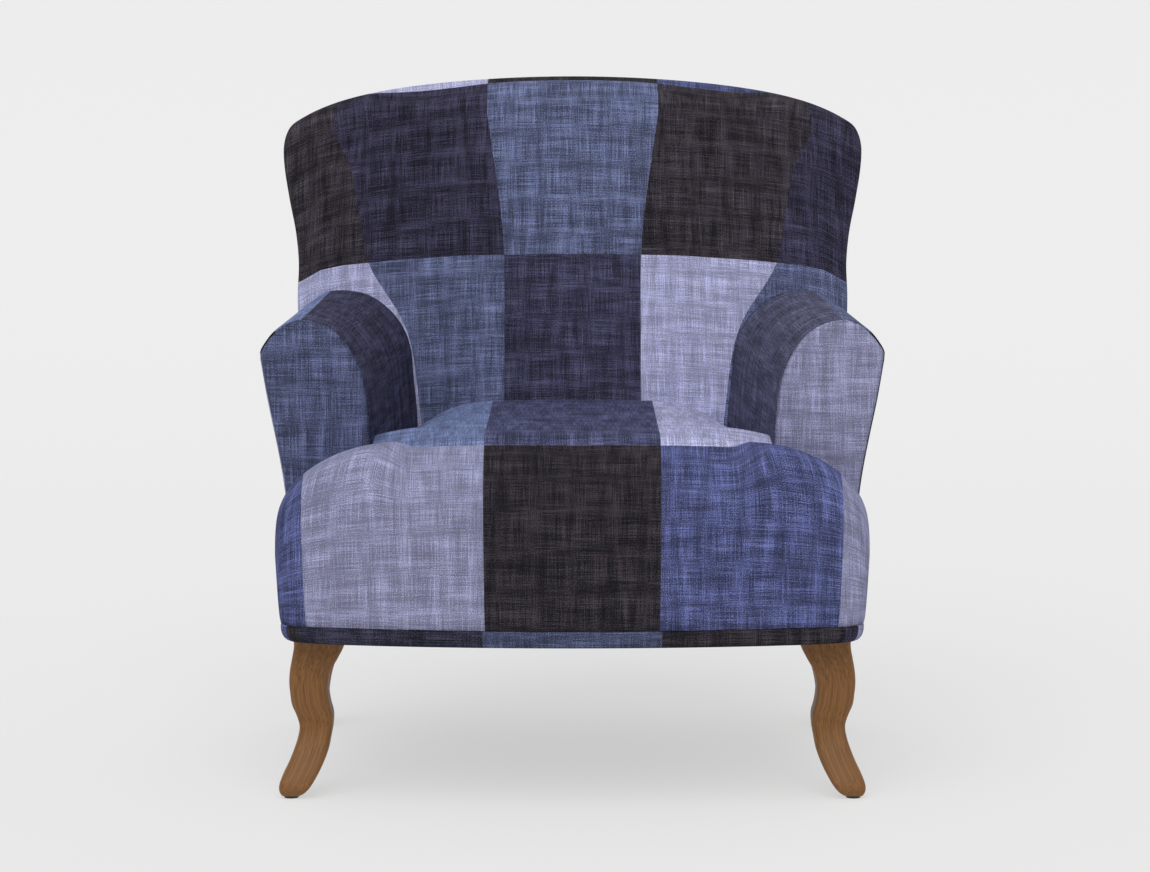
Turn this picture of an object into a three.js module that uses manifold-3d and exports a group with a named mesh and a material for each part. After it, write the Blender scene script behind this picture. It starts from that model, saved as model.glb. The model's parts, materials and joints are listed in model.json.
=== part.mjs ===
// A compact upholstered armchair with a barrel back, splayed round-topped arms,
// a T-shaped tight seat and four shaped wooden legs.
// Millimetres, +Z up, the front of the chair faces -Y, origin on the floor under the middle.

import * as THREE from 'three';
import { mergeVertices } from 'three/addons/utils/BufferGeometryUtils.js';
import Module from 'manifold-3d';

const wasm = await Module();
wasm.setup();

// Driving dimensions of the outside of the chair
const crestHeight = 890;
const frontY = -375;
const rearY = 290;
const rearLean = 85;
const baseBottom = 203;
const bandHeight = 25;
const frontHalf = 359;
const rearHalf = 348;
const frontBowRadius = 1600;
const frontCorner = 28;
const rearCornerY = 60;
const rearCornerFullness = 0.79;
const rearCornerWidth = 0.72;

// Seat
const seatCrown = 455;
const seatRearY = 165;
const seatEarHalf = 366;
const earBackY = -240;
const earCrownDrop = 22;
const earShoulder = 150;
const earFall = 20;
const earFallStart = 110;
const earFallEnd = 260;
const earShoulderDrop = 88;
const middleCrownDrop = 8;
const middleShoulder = 90;
const middleShoulderDrop = 45;
const noseSeam = 49;
const noseDepth = 88;
const noseDrop = 92;
const earReturn = 10;
const deckBottom = 301.3;

// Arms
const facingY = -235;
const armEndY = 215;
const armLow = 302;
const armInsideFront = 256;
const armInsideRear = 206;
const armTuck = 58;
const rollUnderside = 500;
const outsideStart = frontHalf - 54;

// Back
const insideSeatY = 150;
const insideTopY = 265;
const seatLevel = 450;
const insideWrap = 100;
const insideWrapHalf = 350;
const outsideWrap = 120;
const backLow = 330;
const crestRound = 42;
const crestNarrowing = 18;
const crestSag = 45;
const crestCornerSag = 31;
const crestHalf = 393;
const flareTopDrop = 90;
const flareMiddleDrop = 166;
const waistDrop = 250;
const flareTop = crestHeight - flareTopDrop;
const flareMiddle = crestHeight - flareMiddleDrop;
const waistHeight = crestHeight - waistDrop;
const flareMiddleHalf = 381;
const waistHalf = 367;
const sideFold = 8;
const sideHem = 26;
const crestHem = 18;
const rearFoldY = 150;

// Upholstery layers and running gaps
const clothThickness = 2;
const gap = 0.3;
const layerGap = 0.6;
const backPadding = 34;
const backSidePadding = 22;
const backTopPadding = 30;
const armPadding = 30;
const frontPadding = 11.7;

// Wooden frame
const railBottom = 203;
const railHeight = 87;
const railThickness = 25;
const railTop = railBottom + railHeight;
const blockSize = 62;
const blockHeight = 78;
const blockPastLegX = 18;
const blockPastLegY = 12;
const postWidth = 46;
const topRailHeight = 52;
const postTopDrop = 120;
const postTop = crestHeight - postTopDrop;
const lowerRailBottom = 470;
const lowerRailHeight = 50;
const facingBoard = 21;
const armRailBottom = 530;
const frontJointY = -265;
const rearJointY = 120;

// Springs, webbing and cloths inside
const springCount = 5;
const springSpacing = 84;
const springWire = 4;
const springSwing = 17;
const springLoops = 7;
const clipStripHeight = 4;
const clipStripWidth = 19;
const clipStripInset = 2;
const springCoverThickness = 1.5;
const strapWidth = 50;
const strapThickness = 1.5;
const strapSpacing = 150;
const strapOntoRail = 24;
const lowStrapDrop = 300;
const highStrapDrop = 190;
const strapLevels = [crestHeight - lowStrapDrop, crestHeight - highStrapDrop];
const dustCoverThickness = 1.5;

// Legs, leg bolts and glides
const frontLegX = 314;
const frontLegY = -262;
const rearLegX = 306;
const rearLegY = 138;
const frontLegOpening = 42;
const rearLegOpening = 36;
const frontBoltInset = 16;
const rearBoltInset = 18;
const legTop = baseBottom - gap;
const glideThickness = 3;
const glideRadius = 9;
const glidePinRadius = 1.5;
const glidePinLength = 14;
const boltRadius = 5;
const boltLength = 58;
const boltInLeg = 30;
const holeClearance = 0.3;

const bandTop = baseBottom + bandHeight;

// Solids from sheets, lofts and plan outlines

function orient(positions, indices) {
  let volume = 0;
  for (let i = 0; i < indices.length; i += 3) {
    const a = new THREE.Vector3().fromArray(positions, indices[i] * 3);
    const b = new THREE.Vector3().fromArray(positions, indices[i + 1] * 3);
    const c = new THREE.Vector3().fromArray(positions, indices[i + 2] * 3);
    volume += a.dot(b.cross(c));
  }
  if (volume > 0) return indices;
  const turned = [];
  for (let i = 0; i < indices.length; i += 3) {
    turned.push(indices[i], indices[i + 2], indices[i + 1]);
  }
  return turned;
}

function closedGeometry(points, indices) {
  const positions = points.flatMap((p) => [p.x, p.y, p.z]);
  const geometry = new THREE.BufferGeometry();
  geometry.setAttribute('position', new THREE.Float32BufferAttribute(positions, 3));
  geometry.setIndex(orient(positions, indices));
  return geometry;
}

function toSolid(geometry) {
  const plain = geometry.clone();
  plain.deleteAttribute('normal');
  plain.deleteAttribute('uv');
  const merged = mergeVertices(plain, 1e-4);
  const mesh = new wasm.Mesh({
    numProp: 3,
    vertProperties: new Float32Array(merged.attributes.position.array),
    triVerts: new Uint32Array(merged.index.array),
  });
  return new wasm.Manifold(mesh);
}

function toGeometry(solid) {
  const mesh = solid.getMesh();
  const geometry = new THREE.BufferGeometry();
  geometry.setAttribute('position', new THREE.BufferAttribute(mesh.vertProperties, 3));
  geometry.setIndex(new THREE.BufferAttribute(mesh.triVerts, 1));
  geometry.computeVertexNormals();
  return geometry;
}

function largest(solid) {
  const pieces = solid.decompose();
  return pieces.reduce((best, piece) => (piece.volume() > best.volume() ? piece : best));
}

// A solid between two sheets that share one grid of u and v, both from 0 to 1
function betweenSheets(upper, lower, columns, rows) {
  const points = [];
  const indices = [];
  for (const sheet of [upper, lower]) {
    for (let j = 0; j <= rows; j += 1) {
      for (let i = 0; i <= columns; i += 1) points.push(sheet(i / columns, j / rows));
    }
  }
  const at = (side, i, j) => side * (columns + 1) * (rows + 1) + j * (columns + 1) + i;
  const quad = (a, b, c, d) => indices.push(a, b, c, a, c, d);
  for (let j = 0; j < rows; j += 1) {
    for (let i = 0; i < columns; i += 1) {
      quad(at(0, i, j), at(0, i + 1, j), at(0, i + 1, j + 1), at(0, i, j + 1));
      quad(at(1, i, j), at(1, i, j + 1), at(1, i + 1, j + 1), at(1, i + 1, j));
    }
  }
  for (let i = 0; i < columns; i += 1) {
    quad(at(0, i, 0), at(1, i, 0), at(1, i + 1, 0), at(0, i + 1, 0));
    quad(at(0, i, rows), at(0, i + 1, rows), at(1, i + 1, rows), at(1, i, rows));
  }
  for (let j = 0; j < rows; j += 1) {
    quad(at(0, 0, j), at(0, 0, j + 1), at(1, 0, j + 1), at(1, 0, j));
    quad(at(0, columns, j), at(1, columns, j), at(1, columns, j + 1), at(0, columns, j + 1));
  }
  return toSolid(closedGeometry(points, indices));
}

// A solid through rings that run up one side, over and down the other, with flat-laced ends
function throughRings(rings) {
  const count = rings[0].length;
  const indices = [];
  const quad = (a, b, c, d) => indices.push(a, b, c, a, c, d);
  for (let r = 0; r < rings.length - 1; r += 1) {
    for (let i = 0; i < count; i += 1) {
      const next = (i + 1) % count;
      quad(r * count + i, r * count + next, (r + 1) * count + next, (r + 1) * count + i);
    }
  }
  const last = (rings.length - 1) * count;
  for (let i = 0; i < count / 2 - 1; i += 1) {
    const a = i;
    const b = i + 1;
    const c = count - 2 - i;
    const d = count - 1 - i;
    quad(a, d, c, b);
    quad(last + a, last + b, last + c, last + d);
  }
  return toSolid(closedGeometry(rings.flat(), indices));
}

function block(xLow, xHigh, yLow, yHigh, zLow, zHigh) {
  const geometry = new THREE.BoxGeometry(xHigh - xLow, yHigh - yLow, zHigh - zLow);
  geometry.translate((xLow + xHigh) / 2, (yLow + yHigh) / 2, (zLow + zHigh) / 2);
  return toSolid(geometry);
}

function upright(shape, zLow, zHigh, curveSegments = 10) {
  const settings = { depth: zHigh - zLow, bevelEnabled: false, curveSegments };
  return toSolid(new THREE.ExtrudeGeometry(shape, settings).translate(0, 0, zLow));
}

function rod(radius, x, y, zLow, zHigh, sides = 12) {
  const geometry = new THREE.CylinderGeometry(radius, radius, zHigh - zLow, sides);
  geometry.rotateX(Math.PI / 2).translate(x, y, (zLow + zHigh) / 2);
  return toSolid(geometry);
}

const reach = 1000;
const through = 90;
const slab = (zLow, zHigh) => block(-reach, reach, -reach, reach, zLow, zHigh);
const smooth = (t) => THREE.MathUtils.smoothstep(t, 0, 1);
const mix = THREE.MathUtils.lerp;
const clamp = THREE.MathUtils.clamp;

// Round shoulder: how far an edge has dropped at a distance in from that edge
function shoulder(distance, width, drop) {
  const t = clamp(1 - distance / width, 0, 1);
  return drop * (1 - Math.sqrt(1 - t * t));
}

// Even steps drawn closer together towards both ends
const towardsEnds = (t) => (1 - Math.cos(Math.PI * t)) / 2;

// The plan outline of the base, bowed at the front and round at the rear
function bowedFront(x, inset = 0) {
  return frontY + inset + (x * x) / (2 * frontBowRadius);
}

function basePlan(inset) {
  const side = frontHalf - inset;
  const rearSide = rearHalf - inset;
  const bowEdge = side - frontCorner;
  const rear = rearY - inset;
  const cornerY = bowedFront(side, inset) + frontCorner;
  const swellY = mix(rearCornerY, rear, rearCornerFullness);
  const swellX = rearSide * rearCornerWidth;
  const shape = new THREE.Shape();
  shape.moveTo(-bowEdge, bowedFront(bowEdge, inset));
  shape.quadraticCurveTo(0, 2 * bowedFront(0, inset) - bowedFront(bowEdge, inset),
    bowEdge, bowedFront(bowEdge, inset));
  shape.quadraticCurveTo(side, bowedFront(side, inset), side, cornerY);
  shape.lineTo(rearSide, rearCornerY);
  shape.bezierCurveTo(rearSide, swellY, swellX, rear, 0, rear);
  shape.bezierCurveTo(-swellX, rear, -rearSide, swellY, -rearSide, rearCornerY);
  shape.lineTo(-side, cornerY);
  shape.quadraticCurveTo(-side, bowedFront(side, inset), -bowEdge, bowedFront(bowEdge, inset));
  return shape;
}

// The rear edge of the plan outline at a distance x from the middle
function rearEdge(x, inset) {
  const points = basePlan(inset).getPoints(24).filter((p) => p.y > rearCornerY && p.x >= 0);
  points.sort((a, b) => a.x - b.x);
  const k = points.findIndex((p) => p.x > Math.abs(x));
  const [a, b] = [points[k - 1], points[k]];
  return mix(a.y, b.y, (Math.abs(x) - a.x) / (b.x - a.x));
}

function sideX(y) {
  return mix(frontHalf, rearHalf, clamp((y - frontY) / (rearCornerY - frontY), 0, 1));
}

// Seat: T-shaped, with two ears that stand in front of the arms
const armInsideX = (y) => {
  const toRear = clamp((y - facingY) / (insideSeatY - facingY), 0, 1);
  return mix(armInsideFront, armInsideRear, toRear);
};

function seatForm(inset, low) {
  const columns = 18;
  const rows = 12;
  const earRows = 6;
  const front = (x) => {
    const over = Math.abs(x) - (seatEarHalf - frontCorner);
    return bowedFront(x, inset) + (over > 0 ? shoulder(frontCorner - over, frontCorner, frontCorner) : 0);
  };
  const place = (u, v) => {
    const across = 2 * towardsEnds(u) - 1;
    const row = Math.round(v * rows);
    const inEar = row <= earRows;
    const alongMiddle = Math.max(row - earRows - 1, 0) / (rows - earRows - 1);
    const middleY = mix(earBackY - inset + gap, seatRearY - inset, alongMiddle);
    const half = (inEar ? seatEarHalf : armInsideX(middleY) - gap) - inset;
    const x = across * half;
    const alongEar = 1 - Math.cos((Math.PI / 2) * Math.min(row / earRows, 1));
    const y = inEar ? mix(front(x), earBackY - inset, alongEar) : middleY;
    return { x, y, half, inEar };
  };
  const top = (u, v) => {
    const { x, y, half } = place(u, v);
    const toEar = smooth((earBackY + 60 - y) / 80);
    const crownDrop = mix(middleCrownDrop, earCrownDrop, toEar) * Math.abs(x / half) ** 3;
    const behindNose = smooth((y - bowedFront(x) - noseSeam) / (earBackY - frontY - noseSeam));
    const towardsSide = smooth((Math.abs(x) - earFallStart) / (earFallEnd - earFallStart));
    const rearFall = earFall * toEar * behindNose * towardsSide;
    const edge = half - Math.abs(x);
    const sideDrop = mix(
      shoulder(edge, middleShoulder, middleShoulderDrop),
      shoulder(edge, earShoulder, earShoulderDrop),
      toEar,
    );
    const noseFall = shoulder(y - front(x), noseDepth, noseDrop);
    const fall = crownDrop + rearFall + Math.hypot(sideDrop, noseFall);
    return new THREE.Vector3(x, y, Math.max(seatCrown - inset - fall, low + 2));
  };
  const bottom = (u, v) => {
    const { x, y, inEar } = place(u, v);
    const leanIn = inEar ? (frontHalf - inset) / (seatEarHalf - inset) : 1;
    return new THREE.Vector3(x * leanIn, y, low);
  };
  return betweenSheets(top, bottom, columns, rows);
}

// Arms: one section at the facing and one where the arm meets the back, mixed along the arm
const armFrontSection = [
  [251, 228], [254, 450], [262, 500], [280, 552], [311, 586], [345, 592],
  [374, 574], [389, 549], [379, 500], [358, 371],
];
const armRearSection = [
  [198, 228], [201, 432], [206, 496], [219, 553], [252, 592], [302, 607],
  [338, 599], [361, 565], [361, 500], [351, 371],
];

const formFoot = 200;

function armSection(t, around) {
  const y = mix(facingY, armEndY, t);
  const points = armFrontSection.map(([x, z], i) => {
    const [rearX, rearZ] = armRearSection[i];
    return new THREE.Vector2(mix(x, rearX, t), mix(z, rearZ, t));
  });
  points[0].y = formFoot;
  points.push(new THREE.Vector2(sideX(y), formFoot));
  const curve = new THREE.SplineCurve(points);
  const steps = 17;
  const ring = [];
  for (let i = 0; i <= steps; i += 1) {
    const point = curve.getPoint(i / steps);
    const along = curve.getTangent(i / steps);
    const inward = new THREE.Vector2(along.y, -along.x);
    ring.push(point.addScaledVector(inward, around));
  }
  ring[0].y = formFoot;
  ring[steps].y = formFoot;
  return ring;
}

function armForm({ around = 0, front = 0, low = armLow }) {
  const stations = 5;
  const rings = [];
  for (let s = 0; s <= stations; s += 1) {
    const t = s / stations;
    const y = mix(facingY + front, armEndY, t);
    const tHere = (y - facingY) / (armEndY - facingY);
    rings.push(armSection(tHere, around).map((p) => new THREE.Vector3(p.x, y, p.y)));
  }
  return throughRings(rings).intersect(slab(low, reach));
}

// Back: leaning and wrapped in plan, waisted above the arms, with an arched round crest
const backHalfCurve = new THREE.SplineCurve([
  new THREE.Vector2(formFoot, rearHalf + 2),
  new THREE.Vector2(seatLevel, rearHalf + 12),
  new THREE.Vector2(waistHeight, waistHalf),
  new THREE.Vector2(flareMiddle, flareMiddleHalf),
  new THREE.Vector2(flareTop, crestHalf),
  new THREE.Vector2(crestHeight + crestRound, crestHalf),
]);

function backHalf(z) {
  const points = backHalfCurve.points;
  let k = 0;
  while (k < points.length - 2 && z > points[k + 1].x) k += 1;
  const t = clamp((z - points[k].x) / (points[k + 1].x - points[k].x), 0, 1);
  return mix(points[k].y, points[k + 1].y, t);
}

function crest(x) {
  const u = Math.min(Math.abs(x) / crestHalf, 1);
  return crestHeight - crestSag * u ** 2 - crestCornerSag * u ** 8;
}

function insideBackY(x, z) {
  const lean = mix(insideSeatY, insideTopY, (z - seatLevel) / (crestHeight - seatLevel));
  return lean - insideWrap * (Math.abs(x) / insideWrapHalf) ** 2.2;
}

function outsideBackY(x, z) {
  const lean = rearLean * (Math.max(z - baseBottom, 0) / (crestHeight - baseBottom)) ** 1.2;
  return rearY + lean - outsideWrap * (Math.abs(x) / crestHalf) ** 2.5;
}

// Insets of the four sides, and how far the front or the rear is carried on past its face
function backForm({ front = 0, rear = 0, side = 0, top = 0, ahead = 0, behind = 0, low = backLow }) {
  const columns = 16;
  const rows = 8;
  const roundRows = 0.4;
  const sheet = (outside) => (u, v) => {
    const across = Math.sin((Math.PI / 2) * (2 * u - 1));
    const up = Math.min(v / (1 - roundRows), 1);
    const turn = clamp((v - (1 - roundRows)) / roundRows, 0, 1) * (Math.PI * 0.46);
    const roundIn = crestRound * (1 - Math.cos(turn));
    const wide = (z) => backHalf(z) - side - 0.5 * roundIn;
    const crestX = across * (crestHalf - side - crestNarrowing);
    const z = mix(formFoot, crest(crestX) - top - crestRound, up) + crestRound * Math.sin(turn);
    const x = across * wide(z);
    const inner = insideBackY(x, z) + front;
    const outer = outsideBackY(x, z) - rear;
    const middle = (inner + outer) / 2;
    const edgeRound = (1 - Math.abs(across) ** 7 * 0.98) ** (1 / 3);
    const halfThick = ((outer - inner) / 2) * edgeRound * mix(0.12, 1, Math.cos(turn));
    const y = outside ? middle + halfThick + behind : middle - halfThick - ahead;
    return new THREE.Vector3(x, y, z);
  };
  return betweenSheets(sheet(true), sheet(false), columns, rows).intersect(slab(low, reach));
}

// Outer forms used to trim their neighbours
const backGrown = backForm({ front: -gap, rear: -gap, side: -gap, top: -gap, low: backLow - gap });
const leftToRight = (solid) => solid.mirror([1, 0, 0]);
const armGrown = armForm({ around: -gap, front: -gap, low: armLow - gap });
const bothArmsGrown = armGrown.add(leftToRight(armGrown));
const pastTheBack = backForm({ front: -gap, rear: -gap, side: -gap, top: -gap, low: formFoot })
  .add(backForm({ front: armTuck, side: -armTuck, behind: 4 * through, low: formFoot }));

// Frame of the base
const railRing = upright(basePlan(frontPadding + gap), railBottom, railTop)
  .subtract(upright(basePlan(frontPadding + gap + railThickness), railBottom - 1, railTop + 1));
const frontRail = railRing.intersect(block(-reach, reach, -reach, frontJointY, 0, reach));
const rearRail = railRing.intersect(block(-reach, reach, rearJointY, reach, 0, reach));
const sideRail = railRing.intersect(block(0, reach, frontJointY + gap, rearJointY - gap, 0, reach));

function cornerBlock(x, y) {
  const inset = frontPadding + 2 * gap + railThickness;
  const inside = upright(basePlan(inset), railBottom, railBottom + blockHeight);
  const half = blockSize / 2;
  const yHalf = half + blockPastLegY;
  const cube = block(x - half - blockPastLegX, x + half, y - yHalf, y + yHalf, 0, reach);
  const hole = rod(boltRadius + holeClearance, x, y, 0, railBottom + boltLength - boltInLeg + 1);
  return inside.intersect(cube).subtract(hole);
}

const boltX = frontLegX - frontBoltInset;
const rearBoltX = rearLegX - rearBoltInset;
const frontBlock = cornerBlock(boltX, frontLegY);
const rearBlock = cornerBlock(rearBoltX, rearLegY);

// Frame of the back, cut from one blank that fills the space behind the padding
const frameSetback = 1;
const strapsDepth = 2 * (strapThickness + layerGap) + frameSetback;
const backBlank = backForm({
  front: backPadding + gap + strapsDepth,
  rear: clothThickness + layerGap + frameSetback,
  side: backSidePadding + gap,
  top: backTopPadding + gap,
  low: railTop + gap,
});
const insidePosts = backForm({
  ahead: through,
  behind: through,
  side: backSidePadding + gap + postWidth,
  top: backTopPadding + gap + topRailHeight,
  low: railTop - 20,
});
const backHoop = backBlank.subtract(insidePosts);
const backPost = largest(backHoop.intersect(block(0, reach, -reach, reach, 0, postTop)));
const backTopRail = backHoop.intersect(slab(postTop + gap, reach));
const insidePostsTight = backForm({
  ahead: through,
  behind: through,
  side: backSidePadding + 2 * gap + postWidth,
  top: backTopPadding,
  low: railTop - 20,
});
const backLowerRail = backBlank
  .intersect(insidePostsTight)
  .intersect(slab(lowerRailBottom, lowerRailBottom + lowerRailHeight));

function backStrap(start, xLow, xHigh, zLow, zHigh) {
  const layer = { side: backSidePadding + gap, top: backTopPadding + gap, behind: through };
  const face = backForm({ ...layer, front: start });
  const cutAway = backForm({ ...layer, front: start + strapThickness, behind: 2 * through });
  return largest(face.subtract(cutAway).intersect(block(xLow, xHigh, -reach, reach, zLow, zHigh)));
}

const strapFront = backPadding + gap;
const strapRear = strapFront + strapThickness + layerGap;
const strapFoot = lowerRailBottom + 6;
const strapHead = crestHeight - backTopPadding - topRailHeight + strapOntoRail;
const strapReach = waistHalf - 49;

// Padding and covers of the back
const underSeatSpace = block(sideFold - rearHalf, rearHalf - sideFold, -reach, rearFoldY, 0, backLow);
const backCloth = backForm({ low: bandTop + gap })
  .subtract(backForm({ front: clothThickness, rear: clothThickness, side: clothThickness,
    top: clothThickness, low: bandTop - 20 }))
  .subtract(underSeatSpace);
const rearWindow = (edge, low) => backForm({
  front: armTuck,
  behind: through,
  side: sideHem + edge,
  top: crestHem + edge,
  low,
});
const insideBackCover = largest(backCloth.subtract(rearWindow(0, bandTop - 20)));
const paddingStart = clothThickness + layerGap;
const backFoam = largest(backForm({
  front: paddingStart,
  rear: paddingStart,
  side: paddingStart,
  top: paddingStart,
}).subtract(backForm({
  front: backPadding,
  side: backSidePadding,
  top: backTopPadding,
  behind: through,
  low: backLow - 20,
})));
const outsideBackPanel = largest(backForm({ low: bandTop + gap })
  .subtract(backForm({ rear: clothThickness, ahead: through, low: bandTop - 20 }))
  .intersect(rearWindow(gap, bandTop + gap)));

// Arms: cover, facing, outside panel, padding, facing board and rail
const armCloth = armForm({ low: bandTop + gap })
  .subtract(armForm({ around: clothThickness, front: clothThickness, low: bandTop - 20 }))
  .subtract(pastTheBack);
const facingPlane = facingY + clothThickness;
const armFacing = largest(armCloth.intersect(block(-reach, reach, -reach, facingPlane, armLow, reach)));
const behindFacing = block(-reach, reach, facingPlane + gap, reach, 0, reach);
const outsideZone = block(outsideStart, reach, -reach, reach, 0, rollUnderside);
const armSkin = armCloth.intersect(behindFacing);
const armCover = largest(armSkin.subtract(outsideZone).subtract(slab(0, armLow)));
const panelZone = block(outsideStart + gap, reach, -reach, reach, 0, rollUnderside - gap);
const outsideArmPanel = largest(armSkin.intersect(panelZone));
const armFoam = largest(armForm({ around: paddingStart, front: paddingStart })
  .subtract(armForm({ around: armPadding - gap, front: -10, low: armLow - 20 }))
  .subtract(block(outsideStart - 5, reach, -reach, reach, 0, armRailBottom - 8))
  .subtract(pastTheBack));
const armCore = armForm({ around: armPadding + layerGap, front: paddingStart, low: railTop + gap });
const boardEnd = facingY + paddingStart + facingBoard;
const armFacingBoard = armCore.intersect(block(-reach, reach, -reach, boardEnd, 0, reach));
const armRail = largest(armCore
  .intersect(block(-reach, reach, boardEnd + gap, reach, armRailBottom, reach))
  .subtract(pastTheBack));

// Seat: cover, padding, spring cover and springs
const seatTrim = bothArmsGrown.add(backGrown);
const baseSpace = upright(basePlan(frontPadding), 0, deckBottom);
const seatCover = largest(seatForm(0, bandTop + gap)
  .subtract(seatForm(clothThickness, bandTop - 20))
  .subtract(seatTrim)
  .subtract(block(-reach, reach, earBackY - clothThickness - earReturn, reach, 0, deckBottom)));
const seatFoam = largest(seatForm(paddingStart, bandTop + gap)
  .subtract(seatTrim)
  .subtract(baseSpace));

const stripStart = frontPadding + gap + clipStripInset;
const stripMiddle = stripStart + clipStripWidth / 2;
const springLevel = railTop + clipStripHeight + 2 * gap + springWire / 2;

function seatSpring(x) {
  const points = [];
  const steps = springLoops * 4;
  for (let i = 0; i <= steps; i += 1) {
    const t = i / steps;
    const swing = Math.sin(t * springLoops * Math.PI * 2) * springSwing;
    const y = mix(bowedFront(x, stripMiddle), rearEdge(x, stripMiddle), t);
    points.push(new THREE.Vector3(x + swing, y, springLevel));
  }
  const round = new THREE.Shape();
  round.absarc(0, 0, springWire / 2, 0, Math.PI * 2);
  const path = new THREE.CatmullRomCurve3(points);
  const settings = { steps: springLoops * 6, bevelEnabled: false, extrudePath: path, curveSegments: 3 };
  return toSolid(new THREE.ExtrudeGeometry(round, settings));
}

const springReach = springSpacing * (springCount - 1) / 2 + springSwing + 20;
const clipStripBottom = railTop + gap;
const clipStripTop = clipStripBottom + clipStripHeight;
const stripRing = upright(basePlan(stripStart), clipStripBottom, clipStripTop)
  .subtract(upright(basePlan(stripStart + clipStripWidth), clipStripBottom - 1, clipStripTop + 1));
const frontClipStrip = stripRing.intersect(block(-springReach, springReach, -reach, 0, 0, reach));
const rearClipStrip = stripRing.intersect(block(-springReach, springReach, 0, reach, 0, reach));
const springCoverBottom = springLevel + springWire / 2 + gap;
const springCover = upright(basePlan(frontPadding + 6), springCoverBottom,
  Math.min(springCoverBottom + springCoverThickness, deckBottom - gap))
  .subtract(block(-reach, reach, seatRearY - 20, reach, 0, reach))
  .subtract(block(armInsideX(facingY) - 20, reach, facingY - 12, reach, 0, reach))
  .subtract(block(-reach, 20 - armInsideX(facingY), facingY - 12, reach, 0, reach));

// Band and dust cover round and under the base
const baseBand = upright(basePlan(0), baseBottom, bandTop)
  .subtract(upright(basePlan(frontPadding), baseBottom - 1, bandTop + 1));
const legOpening = (x, y, half) => block(x - half, x + half, y - half, y + half, 0, reach);
const dustOpenings = [
  legOpening(frontLegX, frontLegY, frontLegOpening),
  legOpening(rearLegX, rearLegY, rearLegOpening),
].reduce((all, one) => all.add(one).add(leftToRight(one)), block(0, 1, 0, 1, 0, 1));
const dustCoverTop = railBottom - gap;
const dustCover = upright(basePlan(frontPadding + gap + 2), dustCoverTop - dustCoverThickness, dustCoverTop)
  .subtract(dustOpenings);

// Legs: rounded square sections along an S, the foot turned out
const frontLegStations = [
  [glideThickness + gap, 350, 11], [10, 347, 17], [18, 344, 20.5], [30, 339, 21.5], [42, 332, 22],
  [56, 326.5, 21.5], [72, 322.5, 20.5], [88, 320, 20.5], [104, 322.5, 22.5], [120, 326.5, 24],
  [138, 328, 24.5], [154, 326, 26], [170, 321, 28.5], [188, 315, 30.5], [legTop, frontLegX, 32],
];
const rearLegStations = [
  [glideThickness + gap, 356, 13], [40, 353, 17], [75, 347, 19], [108, 335, 21], [150, 320, 23],
  [legTop, rearLegX, 26],
];

function leg(stations, startX, startY, kick, bolt) {
  const corner = 0.72;
  const rings = stations.map(([z, x, half]) => {
    const y = startY + kick * (x - startX);
    const ring = [];
    for (let i = 0; i < 12; i += 1) {
      const turn = ((i + 0.5) / 12) * Math.PI * 2;
      const c = Math.cos(turn);
      const s = Math.sin(turn);
      const swell = 1 / (Math.abs(c) ** 4 + Math.abs(s) ** 4) ** (0.25 * corner + 0.07);
      ring.push(new THREE.Vector3(x + half * c * swell, y + half * s * swell, z));
    }
    return ring;
  });
  const hole = rod(boltRadius + holeClearance, bolt.x, bolt.y, legTop - boltInLeg - 1, reach);
  const foot = stations[0];
  const footY = startY + kick * (foot[1] - startX);
  const pinTop = glideThickness + glidePinLength + 1;
  const pinHole = rod(glidePinRadius + holeClearance, foot[1], footY, -1, pinTop, 8);
  return throughRings(rings).subtract(hole).subtract(pinHole);
}

function glide(x, y) {
  const profile = [[0, 0], [glideRadius, 0], [glideRadius, glideThickness], [glidePinRadius, glideThickness],
    [glidePinRadius, glideThickness + glidePinLength], [0, glideThickness + glidePinLength]];
  const geometry = new THREE.LatheGeometry(profile.map(([r, z]) => new THREE.Vector2(r, z)), 12);
  return toSolid(geometry.rotateX(Math.PI / 2).translate(x, y, 0));
}

const legKick = 0.7;
const frontLeg = leg(frontLegStations, frontLegX, frontLegY, -legKick, { x: boltX, y: frontLegY });
const rearLeg = leg(rearLegStations, rearLegX, rearLegY, legKick, { x: rearBoltX, y: rearLegY });
const footPlace = (stations, startX, startY, kick) => ({
  x: stations[0][1],
  y: startY + kick * (stations[0][1] - startX),
});
const frontFoot = footPlace(frontLegStations, frontLegX, frontLegY, -legKick);
const rearFoot = footPlace(rearLegStations, rearLegX, rearLegY, legKick);
const bolt = (x, y) => rod(boltRadius, x, y, legTop - boltInLeg, legTop - boltInLeg + boltLength);

// Finishes
function finish(color, roughness, metalness = 0) {
  return new THREE.MeshStandardMaterial({ color, roughness, metalness });
}

const slateDenim = finish(0x545a78, 0.9);
const inkDenim = finish(0x2e2e42, 0.9);
const paleDenim = finish(0x8f90ae, 0.9);
const blackDenim = finish(0x302f35, 0.9);
const beech = finish(0xc9a577, 0.7);
const stainedBeech = finish(0x7a5638, 0.5);
const foam = finish(0xe6dcc0, 0.95);
const jute = finish(0xa98f63, 0.95);
const springSteel = finish(0x8a8c90, 0.4, 0.9);
const blackCloth = finish(0x202022, 0.95);
const nylon = finish(0x2b2b2d, 0.6);

const chair = new THREE.Group();

function add(name, solid, material) {
  const mesh = new THREE.Mesh(toGeometry(solid), material);
  mesh.name = name;
  chair.add(mesh);
}

function addPair(name, solid, material) {
  add(`right_${name}`, solid, material);
  add(`left_${name}`, leftToRight(solid), material);
}

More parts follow.
